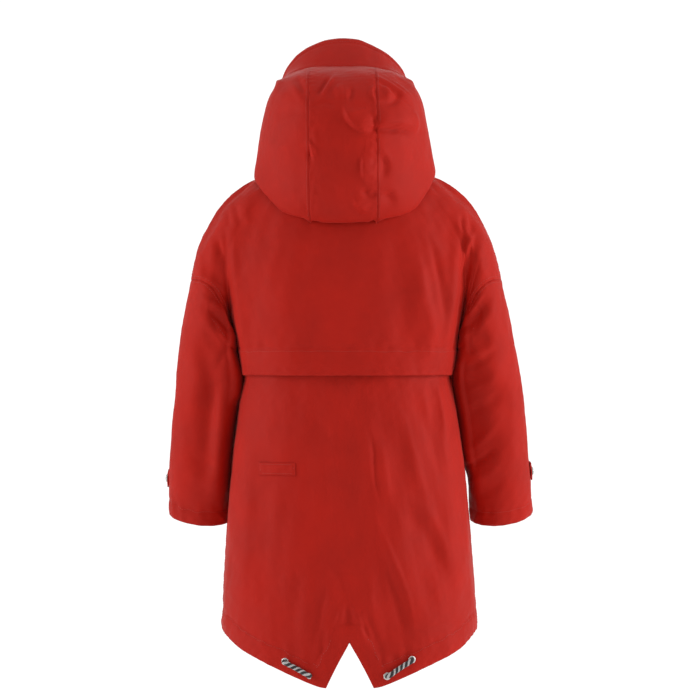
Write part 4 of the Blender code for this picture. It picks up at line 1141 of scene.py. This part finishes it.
def cord_route(start, end):
    """The drawcord's way out of one eyelet, over the cloth and into the next, as in the solids."""
    tree = NEIGHBOURS["back_panel"]
    spots = []
    for step in range(7):
        share = step / 6.0
        x, z = (a + (b - a) * share for a, b in zip(start, end))
        hit, normal = tree.ray_cast(Vector(((x + LEAN * z) * MM, 1.0, z * MM)),
                                    Vector((0.0, -1.0, 0.0)))[:2]
        spots.append((hit / MM, normal if normal.y > 0.0 else -normal))
    foot = 0.4 + 1.0 + 0.35
    bend = sizes().cord / MM / 2.0 + 1.2
    ends = []
    for (hit, normal), inner in ((spots[0], spots[1][0]), (spots[-1], spots[-2][0])):
        ahead = inner - hit
        ahead = (ahead - normal * ahead.dot(normal)).normalized()
        turn = [hit + normal * (foot - 1.6)]
        for degrees in range(0, 97, 16):
            angle = math.radians(degrees)
            turn.append(hit + normal * (foot + 1.0 + bend * math.sin(angle))
                        + ahead * bend * (1.0 - math.cos(angle)))
        ends.append(turn)
    middle = [hit + normal * rise for (hit, normal), rise in zip(spots[2:-2], (5.3, 4.7, 5.3))]
    return ends[0] + middle + ends[1][::-1]


def cord_tube(points, radius):
    """A closed tube along the route, with its strands standing proud and a map round and along."""
    runs = [(b - a).length for a, b in zip(points, points[1:])]
    bm = bmesh.new()
    weave = bm.loops.layers.uv.new("weave")
    sides = 20
    rings = []
    gone = 0.0
    up = (points[1] - points[0]).orthogonal()
    path = []
    for index, point in enumerate(points[:-1]):
        following = points[min(index + 2, len(points) - 1)]
        before = points[max(index - 1, 0)]
        parts = max(1, round(runs[index] / 1.1))
        for part in range(parts):
            path.append(between(before, point, points[index + 1], following, part / parts))
    path.append(points[-1])
    for index, point in enumerate(path):
        way = path[min(index + 1, len(path) - 1)] - path[max(index - 1, 0)]
        up = (up - way * (up.dot(way) / way.length_squared)).normalized()
        gone += (point - path[index - 1]).length if index else 0.0
        turn = Matrix.Translation(point * MM) @ axes(way, up)
        ring = bmesh.ops.create_circle(bm, segments=sides, radius=radius * MM, matrix=turn)["verts"]
        for number, vert in enumerate(ring):
            strand = math.cos(2.0 * math.tau * (gone / 17.6 + number / sides))
            vert.co += (vert.co - point * MM) * 0.035 * strand
        rings.append((ring, gone))
    for (low, start), (high, stop) in zip(rings, rings[1:]):
        edges = [edge for ring in (low, high) for edge in {e for v in ring for e in v.link_edges}
                 if edge.verts[0] in ring and edge.verts[1] in ring]
        numbers = {vert: (number, run) for ring, run in ((low, start), (high, stop))
                   for number, vert in enumerate(ring)}
        for face in bmesh.ops.bridge_loops(bm, edges=edges)["faces"]:
            turns = [numbers[vert][0] for vert in face.verts]
            wraps = max(turns) - min(turns) > sides / 2
            for loop in face.loops:
                number, run = numbers[loop.vert]
                number += sides if wraps and number < sides / 2 else 0
                loop[weave].uv = (number / sides, run * MM)
    bmesh.ops.holes_fill(bm, edges=[edge for edge in bm.edges if edge.is_boundary], sides=0)
    return bm


CORD_ENDS = {"left": ((94.0, -700.0), (58.0, -719.0)), "right": ((-54.0, -720.0), (-90.5, -697.0))}


class RAINCOAT_OT_drawcord(bpy.types.Operator):
    """Makes the two stretches of striped drawcord near the tail, with their eyelets"""
    bl_idname = "raincoat.drawcord"
    bl_label = "Hem drawcord"

    def execute(self, context):
        for name, ends in CORD_ENDS.items():
            for number in ("1", "2"):
                node = f"eyelet_{name}_{number}"
                ring = turned_part(EYELET, 48, disc_seat(node, body_middle))
                trim(node + "_ring", ring, "metal_trim", "metal_trim", node)
            bm = cord_tube(cord_route(*ends), sizes().cord / MM / 2.0)
            trim(f"hem_cord_{name}_braid", bm, "drawcord", "drawcord", "hem_cord_" + name)
        return {"FINISHED"}


def closed_front():
    """Points up the middle of the zip's tape, its direction and its outward side, in mm."""
    tree = tree_of("zip_tape")
    low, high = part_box("zip_tape")
    points = []
    z = low.z / MM + 2.0
    while z < high.z / MM - 2.0:
        hit, normal = tree.ray_cast(Vector((LEAN * z * MM, -1.0, z * MM)),
                                    Vector((0.0, 1.0, 0.0)))[:2]
        if hit is not None:
            points.append((hit / MM, normal if normal.y < 0.0 else -normal))
            z += sizes().tooth_pitch / MM / 2.0 * max(abs(normal.y), 0.25)
        else:
            z += 1.0
    return points


class RAINCOAT_OT_zip(bpy.types.Operator):
    """Makes the zip's tape and its two rows of teeth, and gives the slider and pull their metal"""
    bl_idname = "raincoat.zip"
    bl_label = "Front zip"

    def execute(self, context):
        tape = fine_sheet("zip_tape_cloth", outer_side("zip_tape", 1.0, body_middle), 1)
        finish_sheet(tape, "zip_tape", ((0.0, -12.0), 100.0), 0.8 * MM, "zip_tape")
        spots = closed_front()
        # Teeth on either side by turns, then the stops at both ends: place in the row, side,
        # size, bevel, the bevel's segments and height above the tape.
        blocks = [(number, 1.0 if number % 2 else -1.0, (2.9, 1.35, 1.5), 0.22, 1, 0.55)
                  for number in range(1, len(spots) - 1)]
        blocks += [(2, 0.0, (5.2, 4.6, 2.0), 0.5, 2, 0.6),
                   (len(spots) - 3, 0.0, (4.6, 3.2, 2.0), 0.5, 2, 0.6)]
        teeth = bmesh.new()
        for number, side, size, bevel, segments, rise in blocks:
            made = bmesh.ops.create_cube(teeth, size=1.0, matrix=Matrix.Diagonal((*size, 1.0)))
            for vert in made["verts"]:
                if vert.co.x * side < 0.0:
                    vert.co.y *= 0.62
                if side and vert.co.z > 0.0:
                    vert.co.y *= 0.75
            edges = list({edge for vert in made["verts"] for edge in vert.link_edges})
            made = bmesh.ops.bevel(teeth, geom=edges, offset=bevel, segments=segments,
                                   affect="EDGES", profile=0.5, material=-1)
            hit, normal = spots[number]
            way = spots[number + 1][0] - spots[number - 1][0]
            where = Matrix.Translation(hit * MM) @ axes(normal, way) @ \
                Matrix.Diagonal((MM, MM, MM, 1.0)) @ Matrix.Translation((side * 0.95, 0.0, rise))
            bmesh.ops.transform(teeth, verts=made["verts"], matrix=where)
        trim("zip_teeth", teeth, "metal_trim", "metal_trim")
        for node in ("zip_slider", "zip_pull"):
            for slot in NODES[node].material_slots:
                slot.material = finish("metal_trim")
        return {"FINISHED"}


# -------------------------------------------------------------------------------- stitching
def curve_runs(places, chain, sewn, wanted, corner=35.0):
    """Parts of an open edge that are all sewn, or all free, and have no corner in them."""
    count = len(chain)
    points = places[chain]
    ahead = np.roll(points, -1, 0) - points
    ahead /= np.linalg.norm(ahead, axis=1)[:, None] + 1e-9
    straight = (ahead * np.roll(ahead, 1, 0)).sum(1) > math.cos(math.radians(corner))
    good = [straight[i] and ((chain[i] in sewn) == wanted) for i in range(count)]
    starts = [i for i in range(count) if good[i] and not good[i - 1]]
    if not starts and all(good):
        return [np.vstack((points, points[:1]))]
    runs = []
    for start in starts:
        length = 1
        while good[(start + length) % count]:
            length += 1
        runs.append(points[[(start + i) % count for i in range(length)]])
    return runs


def stitch_spots(node, wanted, inset, keep):
    """Middles, directions and outward sides of the stitches along a piece's edges, in mm."""
    tree, chains, sewn, places = SHEETS[node]
    border = [v for chain in chains for v in chain]
    edge = KDTree(len(border))
    for index, v in enumerate(border):
        edge.insert(places[v], index)
    edge.balance()
    pitch = (sizes().stitch + sizes().stitch_gap) / MM
    found = []
    for chain in chains:
        for run in curve_runs(places, chain, sewn, wanted):
            steps = np.linalg.norm(np.diff(run, axis=0), axis=1)
            gone = np.concatenate(([0.0], np.cumsum(steps)))
            if gone[-1] < SHORTEST:
                continue
            marks = np.arange(pitch, gone[-1] - pitch, pitch)
            line = np.stack([np.interp(marks, gone, run[:, axis]) for axis in range(3)], 1)
            spots = []
            for index, mark in enumerate(line):
                way = Vector(line[min(index + 1, len(line) - 1)] - line[max(index - 1, 0)])
                if way.length < 1e-6:
                    continue
                hit, normal = tree.find_nearest(Vector(mark) * MM)[:2]
                inward = normal.cross(way).normalized()
                best = None
                for sign in (1.0, -1.0):
                    spot, out = tree.find_nearest((Vector(mark) + inward * sign * inset) * MM)[:2]
                    spot = spot / MM
                    gap = edge.find(spot)[2]
                    if best is None or gap > best[2]:
                        best = (spot, out, gap)
                if best[2] > inset * 0.8 and keep(best[0]):
                    spots.append(best[:2])
            for (spot, out), (following, _) in zip(spots, spots[1:]):
                way = following - spot
                if 0.4 * pitch < way.length < 1.8 * pitch:
                    found.append(((spot + following) / 2.0, way.normalized(), out))
    return found


def sew(name, spots):
    """One row of stitches as small slim beads pressed into the cloth."""
    thread = sizes().thread
    bm = bmesh.new()
    for spot, way, out in spots:
        where = Matrix.Translation(spot * MM + out * thread * 0.22) @ axes(out, way) @ \
            Matrix.Diagonal((thread * 0.5, sizes().stitch * 0.5, thread * 0.42, 1.0)) @ \
            Matrix.Rotation(math.radians(90.0), 4, "X")
        bmesh.ops.create_uvsphere(bm, u_segments=6, v_segments=5, radius=1.0, matrix=where)
    trim(name, bm, "thread", "shell_cloth", crisp=False)


def anywhere(spot):
    return True


# Rows of stitches: name, node, on sewn edges (or free ones), inset in mm, and where.
SEAM_ROWS = (
    ("flap", "back_yoke", False, 36.0, anywhere),
    ("armhole", "back_yoke", True, 5.0, lambda spot: spot.z < -20.0),
    ("hem_back", "back_panel", False, 29.0, lambda spot: spot.z < -560.0),
    ("sides", "back_panel", True, 5.0, anywhere),
    ("hem_left", "front_left", False, 27.0, lambda spot: spot.z < -600.0),
    ("hem_right", "front_right", False, 27.0, lambda spot: spot.z < -600.0),
    ("edge_left", "front_left", False, 6.0, lambda spot: abs(spot.x) < 16.0),
    ("edge_right", "front_right", False, 6.0, lambda spot: abs(spot.x) < 26.0),
    ("cuff_left", "sleeve_left", False, 22.0, anywhere),
    ("cuff_right", "sleeve_right", False, 22.0, anywhere),
    ("sleeve_top_left", "sleeve_left", True, 4.0, anywhere),
    ("sleeve_top_right", "sleeve_right", True, 4.0, anywhere),
    ("hood_side_left", "hood_side_left", True, 4.0, anywhere),
    ("hood_side_right", "hood_side_right", True, 4.0, anywhere),
    ("brim_edge", "hood_brim", False, 10.0, anywhere),
    ("brim_seam", "hood_brim", True, 3.5, anywhere),
    ("welt", "back_tab", False, 2.6, anywhere),
    ("cuff_tab_left", "cuff_tab_left", False, 2.6, anywhere),
    ("cuff_tab_right", "cuff_tab_right", False, 2.6, anywhere),
)


class RAINCOAT_OT_stitching(bpy.types.Operator):
    """Sews rows of stitches along the seams, the hem channel, the cuffs and the tabs"""
    bl_idname = "raincoat.stitching"
    bl_label = "Stitching"

    def execute(self, context):
        for name, node, wanted, inset, keep in SEAM_ROWS:
            spots = stitch_spots(node, wanted, inset, keep)
            if not spots:
                raise RuntimeError("no stitches on " + name)
            sew("stitches_" + name, spots)
        return {"FINISHED"}


class RAINCOAT_OT_body(bpy.types.Operator):
    """Makes the upper back with its storm flap, the lower back and the two fronts"""
    bl_idname = "raincoat.body"
    bl_label = "Body panels"

    def execute(self, context):
        dress("back_yoke", 3, body_middle, flap_edge(folded(BACK_FOLDS["back_yoke"])),
              puff=0.5, hem=41.0, seed=11, shift=flank_shift, melt=shoulder_fall)
        dress("back_panel", 3, body_middle, under_flap(folded(BACK_FOLDS["back_panel"])),
              puff=1.0, hem=29.0, seed=21, shift=flank_shift)
        front = FRONT_FOLDS["front"]
        dress("front_left", 2, body_middle, folded(front, False), puff=0.8, hem=27.0, seed=31,
              melt=shoulder_fall)
        dress("front_right", 2, body_middle, folded(front, False, -1.0, 0.85), puff=0.8, hem=27.0,
              seed=41, melt=shoulder_fall)
        return {"FINISHED"}


class RAINCOAT_OT_sleeves(bpy.types.Operator):
    """Makes the two sleeves"""
    bl_idname = "raincoat.sleeves"
    bl_label = "Sleeves"

    def execute(self, context):
        for name, side, seed, press in (("left", 1.0, 51, (5.6, -198.0, -335.0)),
                                        ("right", -1.0, 61, (4.8, -198.0, -440.0))):
            fold = together(folded(BACK_FOLDS["sleeve_" + name], factor=1.3), pressed(side, *press),
                            folded(FRONT_FOLDS["sleeve"], False, side))
            dress("sleeve_" + name, 3, sleeve_middle(side), fold, puff=0.7, hem=22.0,
                  mapped=ARM_MAPS[side], seed=seed, shift=arm_shift)
        return {"FINISHED"}


class RAINCOAT_OT_hood(bpy.types.Operator):
    """Makes the hood: centre strip, two sides and the brim band"""
    bl_idname = "raincoat.hood"
    bl_label = "Hood"

    def execute(self, context):
        back = together(folded(BACK_FOLDS["hood_back"], factor=1.25), hood_seams)
        hood = FRONT_FOLDS["hood"]
        dress("hood_center", 4, hood_middle, back, puff=0.4, hem=8.0, mapped=HOOD_MAP, seed=71,
              calm=0.7, kept=1.0, shift=hood_shift)
        for name, side, seed in (("left", 1.0, 81), ("right", -1.0, 91)):
            dress("hood_side_" + name, 3, hood_middle,
                  together(back, folded(hood, False, side)), puff=0.4, hem=8.0,
                  mapped=HOOD_MAP, calm=0.8, kept=1.0, seed=seed, shift=hood_shift)
        dress("hood_brim", 3, hood_middle, folded(BACK_FOLDS["brim"]), puff=0.5, hem=12.0,
              mapped=HOOD_MAP, calm=0.15, seed=101, shift=hood_shift)
        return {"FINISHED"}


class RAINCOAT_OT_stage(bpy.types.Operator):
    """Makes the camera at the photograph's angle, the pale floor and the soft studio light"""
    bl_idname = "raincoat.stage"
    bl_label = "Stage"

    def execute(self, context):
        scene = context.scene
        scene.view_settings.view_transform = "Standard"
        lens = bpy.data.cameras.new("camera")
        lens.sensor_width = 36.0
        lens.lens = LENS
        lens.clip_start, lens.clip_end = 0.1, 60.0
        camera = linked("camera", lens)
        camera.location = CAMERA
        camera.rotation_euler = (math.radians(90.0), 0.0, math.radians(180.0))
        scene.camera = camera
        bm = bmesh.new()
        bmesh.ops.create_circle(bm, cap_ends=True, segments=64, radius=14.0,
                                matrix=Matrix.Translation((0.0, 0.0, FLOOR)))
        mesh = mesh_of("studio_floor", bm)
        mesh.materials.append(finish("floor"))
        linked("studio_floor", mesh)
        world = bpy.data.worlds.new("studio")
        scene.world = world
        world.use_nodes = True
        make = Nodes(world.node_tree)
        soft = make.tree.nodes["Background"]
        make.feed(soft.inputs["Color"], WHITE)
        make.feed(soft.inputs["Strength"], 0.5)
        make.white_to_camera("ShaderNodeBackground", soft, "World Output")
        for name, place, size, power in LIGHTS:
            lamp = bpy.data.lights.new(name, "AREA")
            lamp.shape = "RECTANGLE"
            lamp.size, lamp.size_y = size
            lamp.energy = power
            holder = linked(name, lamp)
            holder.location = place
            turn = (AIM - Vector(place)).to_track_quat("-Z", "Y")
            holder.rotation_euler = turn.to_euler()
        return {"FINISHED"}


# ------------------------------------------------------------------------------------ panel
OPERATORS = (
    RAINCOAT_OT_body, RAINCOAT_OT_sleeves, RAINCOAT_OT_hood, RAINCOAT_OT_tabs, RAINCOAT_OT_zip,
    RAINCOAT_OT_snaps, RAINCOAT_OT_drawcord, RAINCOAT_OT_stitching, RAINCOAT_OT_stage,
)


class RAINCOAT_PT_pieces(bpy.types.Panel):
    """Lists the raincoat's pieces"""
    bl_idname = "RAINCOAT_PT_pieces"
    bl_label = "Raincoat"
    bl_space_type = "VIEW_3D"
    bl_region_type = "UI"
    bl_category = "Raincoat"

    def draw(self, context):
        for group in (context.scene.raincoat_sizes, context.scene.raincoat_colours):
            for name in group.bl_rna.properties.keys():
                if name not in ("rna_type", "name"):
                    self.layout.prop(group, name)
        for operator in OPERATORS:
            self.layout.operator(operator.bl_idname)


CLASSES = (RaincoatSizes, RaincoatColours, *OPERATORS, RAINCOAT_PT_pieces)


def register():
    for kind in CLASSES:
        bpy.utils.register_class(kind)
    bpy.types.Scene.raincoat_sizes = bpy.props.PointerProperty(type=RaincoatSizes)
    bpy.types.Scene.raincoat_colours = bpy.props.PointerProperty(type=RaincoatColours)


def unregister():
    del bpy.types.Scene.raincoat_colours
    del bpy.types.Scene.raincoat_sizes
    for kind in reversed(CLASSES):
        bpy.utils.unregister_class(kind)


def main():
    register()
    for operator in OPERATORS:
        group, name = operator.bl_idname.split(".")
        getattr(getattr(bpy.ops, group), name)()


if __name__ == "__main__":
    main()
